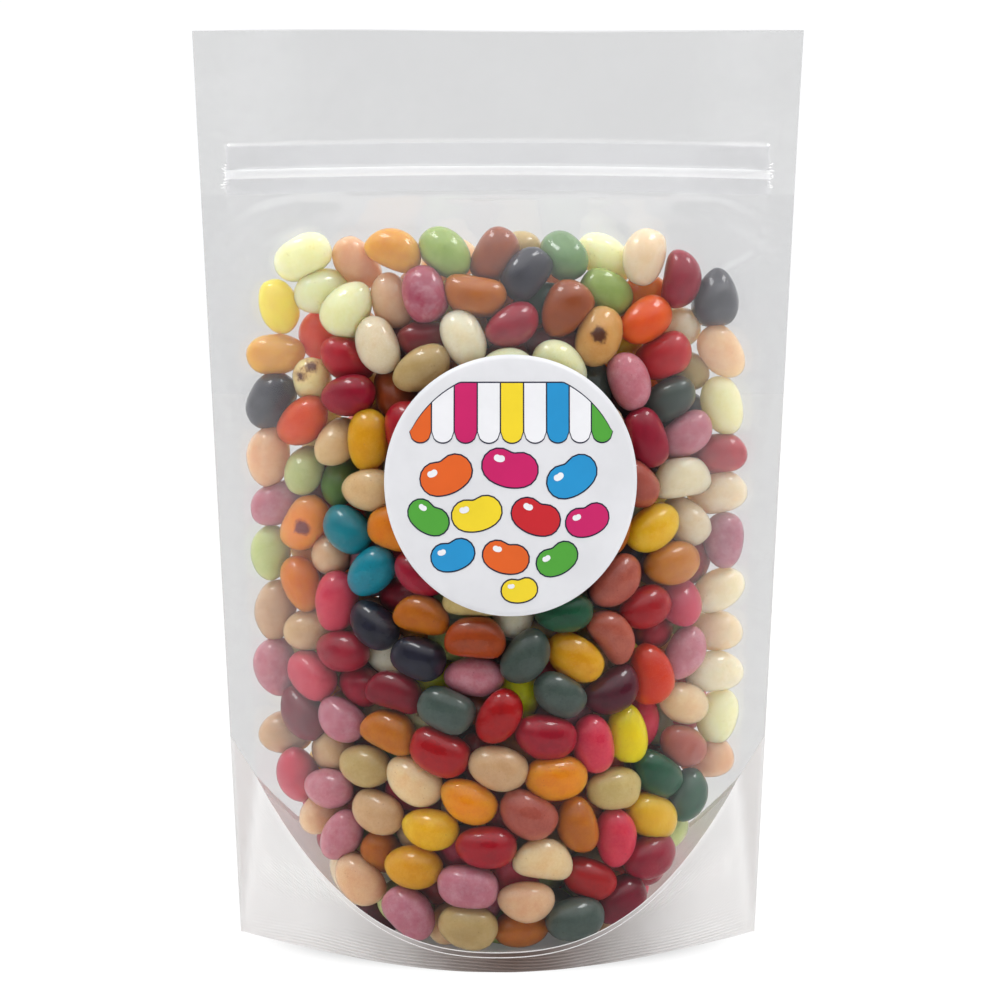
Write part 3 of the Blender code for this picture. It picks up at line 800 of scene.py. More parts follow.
film = {
    "columns": 168,
    "coarseTop": 0.1830,       # above it the rows are closer together, for the shoulder and the zip
    "coarseStep": 0.00105,
    "fineTop": 0.2030,
    "fineStep": 0.00045,
    "headerRows": 22,
    "seamBlend": 0.1000,       # up to here the rows take on the seam's curve
    "archRows": (0.1600, 0.2256, 0.0200),    # and between these two the zip's
    "beanGap": 0.00010,
    "seamMargin": 0.0020,
    "rounds": 26,
    "slack": 0.00001,
    "bulge": 0.0012,           # the most by which the beans lift it
    "freeTop": 0.1800,         # above this the film keeps its own form,
    "heldEdge": 0.0010,        # as it does at the side seals,
    "heldSeam": 0.0012,        # the seam
    "heldLabel": 1.08,         # and the label, in its radii
    "backFolds": 5,            # how many of the folds are on the back too
    "ripples": (7, 190),       # how many waves and how close
    "rippleHeight": 0.00045,
    "rippleEdges": (0.006, 0.010),
    "edgeLine": (0.00025, 0.0004),    # height and half width of the line beside each seal
    "opening": (0.2040, 0.0200),
    "headerGap": 0.0009,
    "smoothAbove": 0.1840,
    "headerStart": 0.1880,     # the film's finish changes here, at the zip's lower edge
    "sealInset": 0.00035,      # real sealed film is thinner than the solid's
    "sealRamp": 0.003,
}

zipTrack = {
    "z": 0.1929,
    "arch": 0.0011,
    "halfLength": 0.0680,
    "below": 0.0050,
    "above": 0.0072,
    "flangeFace": 0.0013,
    "beadFace": 0.0021,
    "beadHalfWidth": 0.0012,
    "cover": 0.00012,
    "crush": 0.003,            # the bead flattens over this length at either end
    "ramp": 0.0050,            # the film comes away from the flange's lower edge over this height
}

# Folds of the front film: points in millimetres across and up, height and half width in millimetres
filmFolds = [
    {"points": [(-69, 176), (-60, 183), (-50, 186.5), (-40, 187)], "height": 0.90, "width": 2.2},
    {"points": [(-68, 171), (-60, 177), (-50, 181)], "height": -0.60, "width": 2.6},
    {"points": [(46, 187), (55, 185.5), (63, 181), (70, 173)], "height": 0.95, "width": 2.2},
    {"points": [(54, 184), (62, 180), (68, 173)], "height": -0.60, "width": 2.4},
    {"points": [(22, 187), (30, 182), (36, 176)], "height": 0.60, "width": 2.4},
    {"points": [(-37, 184), (-39, 178), (-42, 172)], "height": 0.40, "width": 2.2},
    {"points": [(-24, 187), (-22, 182), (-18, 178)], "height": 0.30, "width": 2.2},
    {"points": [(66.5, 178), (64.5, 172.5), (57, 168.5)], "height": 0.90, "width": 1.1},
    {"points": [(53.5, 67), (54, 58)], "height": 0.50, "width": 0.9},
    {"points": [(56, 88), (57.5, 70), (57, 50)], "height": 0.60, "width": 1.1},
    {"points": [(48.5, 49), (47.5, 43), (43.5, 37)], "height": 0.60, "width": 1.0},
    {"points": [(-57, 120), (-58, 95), (-57, 70)], "height": 0.50, "width": 1.3},
    {"points": [(-56, 52), (-52, 40), (-45, 32)], "height": 0.45, "width": 1.2},
    {"points": [(-72, 205), (-60, 203), (-48, 207), (-38, 204)], "height": 0.70, "width": 2.6},
    {"points": [(44, 204), (54, 203), (62, 208), (72, 205)], "height": 0.70, "width": 2.4},
    {"points": [(-70, 160), (-66.5, 120), (-65, 80)], "height": 0.50, "width": 2.0},
    {"points": [(71, 150), (67, 118), (66, 84)], "height": 0.50, "width": 2.0},
]


def panelRows():
    coarse = np.arange(0, film["coarseTop"], film["coarseStep"])
    fine = np.arange(coarse[-1] + film["fineStep"], film["fineTop"], film["fineStep"])
    header = np.linspace(fine[-1] + film["fineStep"], pouch["height"], film["headerRows"])
    return np.concatenate([coarse, fine, header])


def panelGrid():
    flat = panelRows()[:, None]
    across = np.linspace(-1, 1, film["columns"])[None]
    z = np.repeat(flat, film["columns"], 1)
    low, high, blend = film["archRows"]
    for _ in range(3):
        x = across * halfWidth(z)
        z = flat + seamHeight(x) * np.clip(1 - flat / film["seamBlend"], 0, 1)
        z += (beadLine(x) - zipTrack["z"]) * fade(flat, low, blend) * fade(flat, high, -blend)
    return across * halfWidth(z), z


def beadLine(x):
    return zipTrack["z"] + zipTrack["arch"] * (1 - (x / zipTrack["halfLength"]) ** 2)


def zipCover(x, z):
    rise = z - beadLine(x)
    besideZip = np.abs(x) < zipTrack["halfLength"]
    onFlange = (rise > -zipTrack["below"]) & (rise < zipTrack["above"]) & besideZip
    beadShare = fade(np.abs(rise), zipTrack["beadHalfWidth"], -zipTrack["beadHalfWidth"] / 2)
    uncrushed = np.clip((zipTrack["halfLength"] - np.abs(x)) / zipTrack["crush"] - 0.5, 0, 1)
    face = zipTrack["flangeFace"] + (zipTrack["beadFace"] - zipTrack["flangeFace"]) * beadShare * uncrushed
    ramp = 1 - fade(rise, -zipTrack["below"], -zipTrack["ramp"]) ** 1.5
    under = (rise <= -zipTrack["below"]) & besideZip
    covered = face + zipTrack["cover"]
    return np.where(onFlange, covered, np.where(under, covered * ramp, 0))


def distanceToPath(x, z, points):
    best = np.full(x.shape, 1.0)
    ends = np.array(points, float) / 1000
    for start, end in zip(ends, ends[1:]):
        way = end - start
        share = np.clip(((x - start[0]) * way[0] + (z - start[1]) * way[1]) / (way @ way), 0, 1)
        best = np.minimum(best, np.hypot(x - start[0] - share * way[0], z - start[1] - share * way[1]))
    return best


def ripples(x, z, seed):
    rng = np.random.default_rng(seed)
    count, closeness = film["ripples"]
    total = np.zeros_like(x)
    for _ in range(count):
        across, up = rng.normal(0, closeness, 2)
        total += np.sin(x * across + z * up + rng.uniform(0, 6.28))
    return total / count


def beanTops(tree, x, z, side):
    tops = np.zeros(x.shape)
    reach = 0.06
    for index in np.ndindex(x.shape):
        hit = tree.ray_cast(Vector((x[index], side * reach, z[index])), Vector((0, -side, 0)), reach)
        if hit[0] is not None:
            tops[index] = side * hit[0].y
    return tops


# Between its points the film is lifted wherever a bean would come through
def clearBeans(tree, x, z, side, height):
    for down, right in ((1, 1), (0, 1), (1, 0), (1, 1)):
        windows = [(slice(row, len(x) - down + row), slice(column, x.shape[1] - right + column))
                   for row in range(down + 1) for column in range(right + 1)]
        acrossHere, upHere, heightHere = [sum(grid[window] for window in windows) / len(windows)
                                          for grid in (x, z, height)]
        need = beanTops(tree, acrossHere, upHere, side) + film["beanGap"] / 2 - heightHere
        need *= upHere > seamHeight(acrossHere) + film["seamMargin"]
        if side < 0:
            need *= labelRadii(acrossHere, upHere) > 1
        lift = np.zeros_like(height)
        for window in windows:
            lift[window] = np.maximum(lift[window], need)
        height = height + lift
    return height


def labelRadii(x, z):
    return np.hypot(x - labelDisc["x"], z - labelDisc["z"]) / labelDisc["radius"]


def sealedInset(x, z):
    return film["sealInset"] * np.clip((np.abs(x) - panelReach(z)) / film["sealRamp"] + 1, 0, 1)


def meanOf(height, besideWeight, levelWeight, ownWeight):
    mean = height.copy()
    mean[1:-1, 1:-1] = ((height[:-2, 1:-1] + height[2:, 1:-1]) * levelWeight
                        + (height[1:-1, :-2] + height[1:-1, 2:]) * besideWeight
                        + height[1:-1, 1:-1] * ownWeight)
    return mean


# The film sinks between the beans like a soap film, held where it is sealed or carries the label
def restOnBeans(tree, x, z, side):
    form = filmDepth(x, z) - sealedInset(x, z)
    fixed = (z > film["freeTop"]) | (np.abs(x) > panelReach(z) - film["heldEdge"])
    fixed |= z < seamHeight(x) + film["heldSeam"]
    if side < 0:
        fixed |= labelRadii(x, z) < film["heldLabel"]
    tops = beanTops(tree, x, z, side)
    tops = np.where(tops > film["beanGap"] / 2, tops + film["beanGap"], 0)
    height = form.copy()
    for _ in range(film["rounds"]):
        height = np.where(fixed, form, meanOf(height, 0.25, 0.25, 0) - film["slack"])
        height = np.maximum(height, np.minimum(tops, form + film["bulge"]))
    return height


def drapePanel(tree, x, z, side):
    height = restOnBeans(tree, x, z, side)
    for fold in filmFolds if side < 0 else filmFolds[:film["backFolds"]]:
        away = distanceToPath(-side * x, z, fold["points"]) / (fold["width"] / 1000)
        height += np.exp(-away ** 2) * fold["height"] / 1000
    reach = panelReach(z) - np.abs(x)
    rise, inward = film["rippleEdges"]
    loose = fade(z, film["freeTop"], rise) * fade(reach, 0, inward)
    height += film["rippleHeight"] * ripples(x, z, 5 + side) * loose
    lineHeight, lineWidth = film["edgeLine"]
    height += lineHeight * np.exp(-(reach / lineWidth) ** 2) * (z > pouch["skirtTop"])
    start, width = film["opening"]
    opening = fade(z, start, width) * fade(reach, 0, width)
    height += film["headerGap"] * opening * (0.6 + 0.4 * np.sin(x * 60 + side))
    cover = zipCover(x, z)
    height = np.maximum(height, cover)
    for _ in range(3):
        smooth = np.maximum(meanOf(height, 0, 0.25, 0.5), cover)
        height = np.where(z > film["smoothAbove"], smooth, height)
    return headerSway(x, z) + side * clearBeans(tree, x, z, side, height)


# Front and back sheets share their side edges, so each level is a loop
def closedSheet(name, x, z, front, back, slot):
    rows, columns = x.shape
    total = rows * columns
    points = np.concatenate([np.stack([x, depth, z], -1).reshape(-1, 3) for depth in (front, back)])
    faces = [gridFaces(rows, columns), gridFaces(rows, columns, total, flip=True)]
    index = np.arange(total).reshape(rows, columns)
    for column, flip in ((0, True), (columns - 1, False)):
        edge = index[:, column]
        strip = np.stack([edge[:-1], edge[:-1] + total, edge[1:] + total, edge[1:]], 1)
        faces.append(strip[:, ::-1] if flip else strip)
    piece = makePiece(name, points, np.concatenate(faces), slot=slot)
    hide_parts("pouch")
    return piece


def makeFilm(tree):
    x, z = panelGrid()
    front, back = [drapePanel(tree, x, z, side) for side in (-1, 1)]
    return closedSheet("filmPanels", x, z, front, back, "film")


# Skirt, gusset and seam under the beans

skirt = {
    "rows": 130,
    "columns": 120,
    "ridgePitch": 0.00078,
    "ridgeHeight": 0.00011,
    "ridgeWander": ((0.0006, 55, 1.0), (0.0003, 170, 0)),
    "ridgeEdges": (0.004, 0.002),
    "lowest": 0.0002,
    "spots": (0.0592, 0.0195),  # round press marks in the corners, across and up
    "spotSize": (0.0022, 0.0034),
    "spotDepth": 0.00028,
    "gussetColumns": 110,
    "gussetRows": 44,
    "gussetReach": 0.0620,     # beyond this the gusset is pressed between the sealed films
    "gussetInset": 0.0005,
    "gussetRamp": 0.010,
    "gussetLowest": 0.0004,
    "beanGap": 0.0001,
    "seamReach": 0.0570,
    "seamLines": ((0.0, 1.0), (0.0012, 0.8)),    # how far down each line lies, and its share of the reach
    "seamLift": 0.00022,
    "seamRadius": 0.00012,
}


def makeSkirt():
    across = np.linspace(-1, 1, skirt["columns"])[None]
    share = np.linspace(0, 1, skirt["rows"])[:, None]
    x = across * halfWidth(0.02)
    for _ in range(3):
        z = skirt["lowest"] + (seamHeight(x) - skirt["lowest"]) * share
        x = across * halfWidth(z)
    wander = sum(height * np.sin(x * pace + phase) for height, pace, phase in skirt["ridgeWander"])
    ridge = np.sin(2 * math.pi * (z + wander) / skirt["ridgePitch"])
    sideEdge, seamEdge = skirt["ridgeEdges"]
    strength = fade(panelReach(z) - np.abs(x), 0, sideEdge) * fade(seamHeight(x) - z, 0, seamEdge)
    (spotX, spotZ), (wide, tall) = skirt["spots"], skirt["spotSize"]
    pressed = np.clip(1.6 - 1.6 * np.hypot((np.abs(x) - spotX) / wide, (z - spotZ) / tall), 0, 1)
    depth = filmDepth(x, z) + skirt["ridgeHeight"] * ridge * strength * (1 - pressed)
    depth -= skirt["spotDepth"] * pressed + sealedInset(x, z)
    return closedSheet("skirtSeal", x, z, -depth, depth, "film")


def makeGusset(tree):
    columns, rows, reach = skirt["gussetColumns"], skirt["gussetRows"], skirt["gussetReach"]
    x = np.linspace(-1, 1, columns)[None] * reach * np.ones((rows, 1))
    share = np.linspace(-1, 1, rows)[:, None] * np.ones((1, columns))
    seam = seamHeight(x)
    y = share * np.maximum(filmDepth(x, seam) - skirt["gussetInset"], 0.0001)
    z = seam - (seam - gussetHeight(x, y)) * fade(reach - np.abs(x), 0, skirt["gussetRamp"])
    for index in np.ndindex(x.shape):
        hit = tree.ray_cast(Vector((x[index], y[index], -0.02)), Vector((0, 0, 1)), 0.08)[0]
        if hit is not None and abs(share[index]) < 0.97:
            z[index] = min(z[index], hit.z - skirt["beanGap"])
    points = np.stack([x, y, np.maximum(z, skirt["gussetLowest"])], -1).reshape(-1, 3)
    piece = makePiece("gussetSheet", points, gridFaces(rows, columns, flip=True), slot="film")
    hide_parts("pouch")
    return piece


def makeTubes(paths, radius, sides=8):
    points, faces, start = [], [], 0
    angles = np.linspace(0, 2 * math.pi, sides, endpoint=False)[None, :, None]
    for path in paths:
        tangents = np.gradient(path, axis=0)
        tangents /= np.linalg.norm(tangents, axis=1, keepdims=True)
        lift = np.cross(tangents, (0, 1, 0))
        lift /= np.linalg.norm(lift, axis=1, keepdims=True)
        out = np.cross(tangents, lift)
        ring = lift[:, None] * np.cos(angles) + out[:, None] * np.sin(angles)
        points.append((path[:, None] + radius * ring).reshape(-1, 3))
        index = start + np.arange(len(path) * sides).reshape(-1, sides)
        beside = np.roll(index, -1, 1)
        corners = [index[:-1], beside[:-1], beside[1:], index[1:]]
        faces += np.stack(corners, -1).reshape(-1, 4).tolist()
        faces += [index[0][::-1].tolist(), index[-1].tolist()]
        start += index.size
    return np.concatenate(points), faces


def makeSeam():
    paths = []
    for side in (-1, 1):
        for drop, share in skirt["seamLines"]:
            x = np.linspace(-skirt["seamReach"], skirt["seamReach"], 190) * share
            z = seamHeight(x) - drop
            paths.append(np.stack([x, side * (filmDepth(x, z) + skirt["seamLift"]), z], 1))
    piece = makePiece("seamLines", *makeTubes(paths, skirt["seamRadius"]), slot="film")
    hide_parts("pouch")
    return piece


# Zip ends, pressed flat by the side seals

zipEnds = {
    "ribs": 9,
    "pitch": 0.0007,
    "radius": 0.00013,
    "halfLength": (0.0002, 0.0008),
    "shift": (-0.0002, 0.0008),
    "slope": (-0.0004, 0.0006),
    "depth": (0.0007, 0.0003),
}


def makeZipEnds():
    rng = np.random.default_rng(8)
    paths = []
    near, bow = zipEnds["depth"]
    depth = near + bow * np.cos(np.linspace(-1.2, 1.2, 5))
    for side in (-1, 1):
        for end in (-1, 1):
            for rib in range(zipEnds["ribs"]):
                half = rng.uniform(*zipEnds["halfLength"])
                x = end * (zipTrack["halfLength"] + rng.uniform(*zipEnds["shift"]))
                z = zipTrack["z"] + (rib - zipEnds["ribs"] / 2) * zipEnds["pitch"]
                z = z + np.linspace(0, rng.uniform(*zipEnds["slope"]), 5)
                paths.append(np.stack([x + end * np.linspace(-half, half, 5), side * depth, z], 1))
    return makePiece("zipCrushedEnds", *makeTubes(paths, zipEnds["radius"], 6), slot="zip_plastic")


# Round label

labelDisc = {
    "radius": 0.03175,
    "x": 0.0035,
    "z": 0.1170,
    "gap": 0.0003,
    "thickness": 0.0004,
    "rings": 20,
    "segments": 128,
    "edge": 0.0004,            # the rim is rounded over this width
    "rounding": 0.0001,
    "printLift": 0.00006,
}


def walkFilm(start, distance, slopeAt):
    steps = 16
    position = np.array(start, float) + np.zeros_like(distance)
    for _ in range(steps):
        position = position + distance / steps / np.hypot(1, slopeAt(position))
    return position


def wrapOnFilm(across, up, lift):
    height = walkFilm(labelDisc["z"], up, lambda z: slopesOf(filmDepth, labelDisc["x"], z)[1])
    place = walkFilm(labelDisc["x"], across, lambda x: slopesOf(filmDepth, x, height)[0])
    return np.stack([place, -filmDepth(place, height) - lift, height], -1).reshape(-1, 3)


def makeLabel():
    rings, segments, radius = labelDisc["rings"], labelDisc["segments"], labelDisc["radius"]
    angles = np.linspace(0, 2 * math.pi, segments, endpoint=False)[None]
    radii = (radius * np.linspace(0, 1, rings + 1) ** 0.8)[1:, None]
    drop = labelDisc["rounding"] * fade(radii, radius - labelDisc["edge"], labelDisc["edge"])
    index = 1 + np.arange(rings * segments).reshape(rings, segments)
    beside = np.roll(index, -1, 1)
    fan = np.stack([np.zeros_like(index[0]), index[0], beside[0]], 1).tolist()
    quads = np.stack([index[:-1], index[1:], beside[1:], beside[:-1]], -1).reshape(-1, 4).tolist()
    total = 1 + index.size
    points, faces = [], []
    for layer, lift in enumerate((labelDisc["gap"], labelDisc["gap"] + labelDisc["thickness"])):
        outward = 2 * layer - 1
        points.append(wrapOnFilm(np.zeros((1, 1)), np.zeros((1, 1)), lift))
        points.append(wrapOnFilm(radii * np.cos(angles), radii * np.sin(angles), lift - outward * drop))
        faces += [[corner + layer * total for corner in face[::outward]] for face in fan + quads]
    faces += np.stack([index[-1], beside[-1], beside[-1] + total, index[-1] + total], 1).tolist()
    piece = makePiece("labelPaper", np.concatenate(points), faces, slot="label_paper")
    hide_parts("label")
    return piece


# Inks by name, an awning of stripes above, and a heap of flat beans: across, up, length, turn and ink
labelPrint = {
    "inks": {"navy": (28, 28, 58), "white": (232, 232, 235), "orange": (222, 94, 24),
             "magenta": (198, 18, 98), "yellow": (236, 208, 34), "blue": (24, 142, 200),
             "green": (78, 162, 54), "red": (196, 28, 38)},
    "stripes": ["orange", "white", "magenta", "white", "yellow", "white", "blue", "white", "green"],
    "stripeWidth": 0.0056,
    "outline": 0.00035,
    "top": 0.0250,
    "bottom": 0.0125,
    "border": 0.0280,
    "beans": [(-15.8, 1.6, 13.2, 24, "orange"), (-0.6, 3.4, 13.6, -12, "magenta"),
              (15.0, 1.2, 13.2, 30, "blue"), (-20.6, -8.6, 10.8, -30, "green"),
              (-8.4, -7.6, 12.2, 14, "yellow"), (5.6, -8.4, 12.2, -22, "red"),
              (18.8, -9.4, 11.2, 16, "magenta"), (-14.2, -17.6, 10.8, 18, "blue"),
              (-1.6, -18.0, 11.2, -14, "orange"), (11.2, -18.6, 10.6, 26, "green"),
              (1.8, -25.8, 8.6, 6, "yellow")],
    "beanShape": 0.60,         # width for a length of one
    "beanBend": 24,            # degrees that each half of it turns
    "glint": (-0.22, 0.16, 0.20),    # across, up and size, for a length of one
    "layer": 0.00004,          # each ink lies this far above the last
}


def beanOutline(length, grow):
    half = length * labelPrint["beanShape"] / 2 + grow
    turn = math.radians(labelPrint["beanBend"])
    radius = length * (1 - labelPrint["beanShape"]) / 2 / turn
    arc, cap = np.linspace(-turn, turn, 12), np.linspace(0, math.pi, 9)[1:-1]
    belly, rightEnd = (arc, 0, radius + half), (turn + cap, radius, half)
    hollow, leftEnd = (arc[::-1], 0, radius - half), (math.pi - turn + cap, -radius, half)
    along, across = [], []
    for angles, side, reach in (belly, rightEnd, hollow, leftEnd):
        along.append(side * math.sin(turn) + reach * np.sin(angles))
        across.append(radius - abs(side) * math.cos(turn) - reach * np.cos(angles))
    return np.concatenate(along), np.concatenate(across)


# A scalloped awning above and a heap of flat beans below, on a plain ground
def makeLabelPrint():
    points, faces, inks = [], [], []
    base = labelDisc["gap"] + labelDisc["thickness"] + labelDisc["printLift"]
    names = list(labelPrint["inks"])
    outline, half = labelPrint["outline"], labelPrint["stripeWidth"] / 2

    def addGrid(u, v, layer, ink):
        start = sum(len(part) for part in points)
        points.append(wrapOnFilm(u + 0 * v, v, base + layer * labelPrint["layer"]))
        quads = gridFaces(*v.shape, start)
        faces.extend(quads.tolist())
        inks.extend([names.index(ink)] * len(quads))

    for layer, inset in ((0, 0), (1, outline)):
        for index, ink in enumerate(labelPrint["stripes"]):
            middle = (index - (len(labelPrint["stripes"]) - 1) / 2) * labelPrint["stripeWidth"]
            reach = half - inset / 2
            u = middle + np.linspace(-reach, reach, 11)[None]
            border = np.sqrt(np.maximum(labelPrint["border"] ** 2 - u ** 2, 0))
            upper = np.minimum(labelPrint["top"], border) - inset
            scallop = np.sqrt(np.maximum(reach ** 2 - (u - middle) ** 2, 0))
            lower = labelPrint["bottom"] - scallop + inset / 2
            v = lower + (np.maximum(upper, lower + 0.0001) - lower) * np.linspace(0, 1, 12)[:, None]
            addGrid(u, v, layer, ink if layer else "navy")
    rings = np.array([0.001, 0.5, 1.0])[:, None]
    for u, v, length, turn, ink in labelPrint["beans"]:
        u, v, length, turn = u / 1000, v / 1000, length / 1000, math.radians(turn)
        right, up, size = np.array(labelPrint["glint"]) * (length, length, 1)
        layers = ((outline, (0, 0), 1, "navy"), (0, (0, 0), 1, ink), (0, (right, up), size, "white"))
        for layer, (grow, shift, share, name) in enumerate(layers):
            along, across = [np.append(part, part[0]) * rings + move
                             for part, move in zip(beanOutline(length * share, grow), shift)]
            turnedX = u + along * math.cos(turn) - across * math.sin(turn)
            addGrid(turnedX, v + along * math.sin(turn) + across * math.cos(turn), layer, name)
    return makePiece("labelPrint", np.concatenate(points), faces, slot="label_paper"), inks


# Slight clouds in the paper and its fibre, scales per metre
paperLook = {
    "clouds": (60, 4.0, 0.6, 0.3, 0.7),
    "fibreScale": 2400,
    "dullest": 0.93,
    "bump": (0.08, 0.00005),
    "ground": (219, 219, 222),
    "groundRoughness": 0.42,
    "inkRoughness": 0.38,
}


def makePaperGroup():
    tree, given = newGroup("paperFibre", [("Scale", "Float", 1.0)],
                           [("Shade", "Float", None), ("Height", "Float", None)])
    scaled = addNode(tree, "ShaderNodeVectorMath", {0: objectPlace(tree), "Scale": given["Scale"]},
                     operation="SCALE").outputs[0]
    return endGroup(tree, {"Shade": patchNode(tree, scaled, paperLook["clouds"]),
                           "Height": noiseNode(tree, scaled, paperLook["fibreScale"], 3.0, 0.7)})


def paperMaterial(name, colour, fibre, roughness):
    material, tree, output = newMaterial(name)
    surface = useGroup(tree, fibre, {"Scale": 1.0})
    dull = (*[paperLook["dullest"] * part for part in colour[:3]], 1.0)
    shader = addNode(tree, "ShaderNodeBsdfPrincipled", {
        "Base Color": mixColours(tree, surface["Shade"], dull, colour),
        "Roughness": roughness,
        "Normal": bumpNode(tree, surface["Height"], *paperLook["bump"])})
    tree.links.new(shader.outputs[0], output)
    return material


# Film finishes

filmSurface = {
    "waveScale": 60,
    "fineScale": 340,
    "fineShare": 0.2,
    "bump": (0.5, 0.0004),
    "backlitHazeShare": 0.25,        # the most that the haze and painted backlight can hide
    "backlitHazeSides": (0.034, 0.064),
    "backlitHazeTop": (0.138, 0.186),
    "topShare": 0.35,
    "backlitHazePatches": (45, 3.0, 0.55),
    "patchiness": (0.30, 0.70, (0.45, 1.0)),
    "blueTint": 1.004,
    "index": 1.5,
    "indexDrop": 0.8333,       # on the inside, so that a thin film mirrors alike from both sides
}


def makeFilmGroup():
    tree, given = newGroup("filmRipple", [("Ripple", "Float", 1.0)], [("Height", "Float", None)])
    place = objectPlace(tree)
    wide = noiseNode(tree, place, filmSurface["waveScale"])
    fine = times(tree, noiseNode(tree, place, filmSurface["fineScale"]), filmSurface["fineShare"])
    return endGroup(tree, {"Height": times(tree, mathNode(tree, "ADD", wide, fine), given["Ripple"])})


# Film haze with painted backlight and sheen, stronger towards the film's sides and the top of the heap
def makeHazeAndBacklightGroup():
    tree, given = newGroup("filmHazeAndBacklight", [("Amount", "Float", 0.8)], [("Mask", "Float", None)])
    place = objectPlace(tree)
    parts = splitPlace(tree, place)
    sides = rangeNode(tree, mathNode(tree, "ABSOLUTE", parts["X"]), *filmSurface["backlitHazeSides"])
    top = times(tree, rangeNode(tree, parts["Z"], *filmSurface["backlitHazeTop"]), filmSurface["topShare"])
    patches = noiseNode(tree, place, *filmSurface["backlitHazePatches"])
    patches = rangeNode(tree, patches, *filmSurface["patchiness"])
    backlitHaze = times(tree, mathNode(tree, "MAXIMUM", sides, top), patches)
    return endGroup(tree, {"Mask": times(tree, backlitHaze, given["Amount"], clamp=True)})


# Milk is the film's own pale body; a painted shade darkens it towards the middle where the heap stands
# behind it, and colours the light through it
def milkShader(tree, look):
    colour, throughColour = look["milk"], look.get("shade", look["milk"])
    if "shade" in look:
        place = objectPlace(tree)
        middle = mathNode(tree, "SUBTRACT", splitPlace(tree, place)["X"], look["shadeMiddle"])
        wander = times(tree, noiseNode(tree, place, 60), look["shadeWander"])
        outward = mathNode(tree, "ADD", mathNode(tree, "ABSOLUTE", middle), wander)
        away = rangeNode(tree, outward, *look["shadeReach"])
        colour = mixColours(tree, away, look["shade"], look["milk"])
    milk = addNode(tree, "ShaderNodeBsdfPrincipled", {
        "Base Color": colour, "Roughness": 0.5, "Specular IOR Level": 0.2})
    glow = addNode(tree, "ShaderNodeBsdfTranslucent", {"Color": throughColour})
    return mixShaders(tree, look.get("through", 0.35), milk.outputs[0], glow.outputs[0])


# Lamps and bounced light pass the film, and what is seen or mirrored meets its gloss and haze
def filmMaterial(name, ripple, hazeAndBacklight, look):
    material, tree, output = newMaterial(name)
    height = useGroup(tree, ripple, {"Ripple": 1.0})["Height"]
    normal = bumpNode(tree, height, *filmSurface["bump"])
    clear = [look["clear"], look["clear"], look["clear"] * filmSurface["blueTint"]]
    hidden = filmSurface["backlitHazeShare"] if "hazeAndBacklight" in look else 0.0
    if hidden:
        clear = [(look["clear"] - hidden) / (1 - hidden)] * 3
    body = addNode(tree, "ShaderNodeBsdfTransparent", {"Color": (*clear, 1)}).outputs[0]
    if hidden:
        # A milky layer of film haze and painted backlight, masked towards the sides and the top
        mask = useGroup(tree, hazeAndBacklight, {"Amount": look["hazeAndBacklight"]})["Mask"]
        backlitHaze = addNode(tree, "ShaderNodeBsdfPrincipled", {
            "Base Color": look["milk"], "Roughness": 0.6, "Specular IOR Level": 0.1, "Alpha": mask})
        body = mixShaders(tree, hidden, body, backlitHaze.outputs[0])
    if look["haze"] > 0:
        body = mixShaders(tree, look["haze"], body, milkShader(tree, look))
    inside = addNode(tree, "ShaderNodeNewGeometry").outputs["Backfacing"]
    index = mathNode(tree, "SUBTRACT", filmSurface["index"], times(tree, inside, filmSurface["indexDrop"]))
    fresnel = addNode(tree, "ShaderNodeFresnel", {"IOR": index, "Normal": normal})
    shine = addNode(tree, "ShaderNodeBsdfGlossy", {
        "Roughness": look["roughness"], "Color": (1, 1, 1, 1), "Normal": normal})
    gloss = times(tree, fresnel.outputs[0], look["gloss"], clamp=True)
    coated = mixShaders(tree, gloss, body, shine.outputs[0])
    rays = addNode(tree, "ShaderNodeLightPath").outputs
    passing = mathNode(tree, "MAXIMUM", rays["Is Shadow Ray"], rays["Is Diffuse Ray"])
    bare = addNode(tree, "ShaderNodeBsdfTransparent").outputs[0]
    tree.links.new(mixShaders(tree, passing, coated, bare), output)
    return material


# Milk is RGBA in the scene's own linear values, haze the share of it in the film
filmLooks = {
    "clearFilm": {"clear": 0.852, "haze": 0.0, "roughness": 0.04, "gloss": 1.3, "hazeAndBacklight": 0.8,
                  "milk": (0.86, 0.86, 0.87, 1)},
    "headerFilm": {"clear": 0.855, "haze": 0.0, "roughness": 0.10, "gloss": 1.2, "hazeAndBacklight": 0.9,
                   "milk": (0.95, 0.95, 0.95, 1)},
    # A milky band over the zip's bead on the front sheet, a painted highlight
    "beadHighlightFilm": {"clear": 0.87, "haze": 0.38, "roughness": 0.12, "gloss": 1.2,
                 "milk": (0.95, 0.95, 0.95, 1)},
    # The sealed skirt carries a painted shade, darkest in the middle under the heap
    "sealedFilm": {"clear": 0.95, "haze": 0.96, "roughness": 0.28, "gloss": 0.7,
                   "milk": (0.85, 0.84, 0.83, 1), "shade": (0.10, 0.058, 0.043, 1), "through": 0.10,
                   "shadeMiddle": 0.004, "shadeReach": (0.004, 0.060), "shadeWander": 0.012},
    "gussetFilm": {"clear": 0.92, "haze": 0.40, "roughness": 0.14, "gloss": 0.4,
                   "milk": (0.94, 0.93, 0.92, 1)},
    "seamFilm": {"clear": 0.96, "haze": 0.70, "roughness": 0.25, "gloss": 0.4,
                 "milk": (0.96, 0.96, 0.96, 1)},
    "zipPlastic": {"clear": 1.0, "haze": 0.05, "roughness": 0.25, "gloss": 0.10,
                   "milk": (0.95, 0.95, 0.95, 1)},
    "crushedPlastic": {"clear": 1.0, "haze": 0.45, "roughness": 0.15, "gloss": 0.6,
                       "milk": (0.98, 0.98, 0.98, 1)},
}


# Light, floor and camera

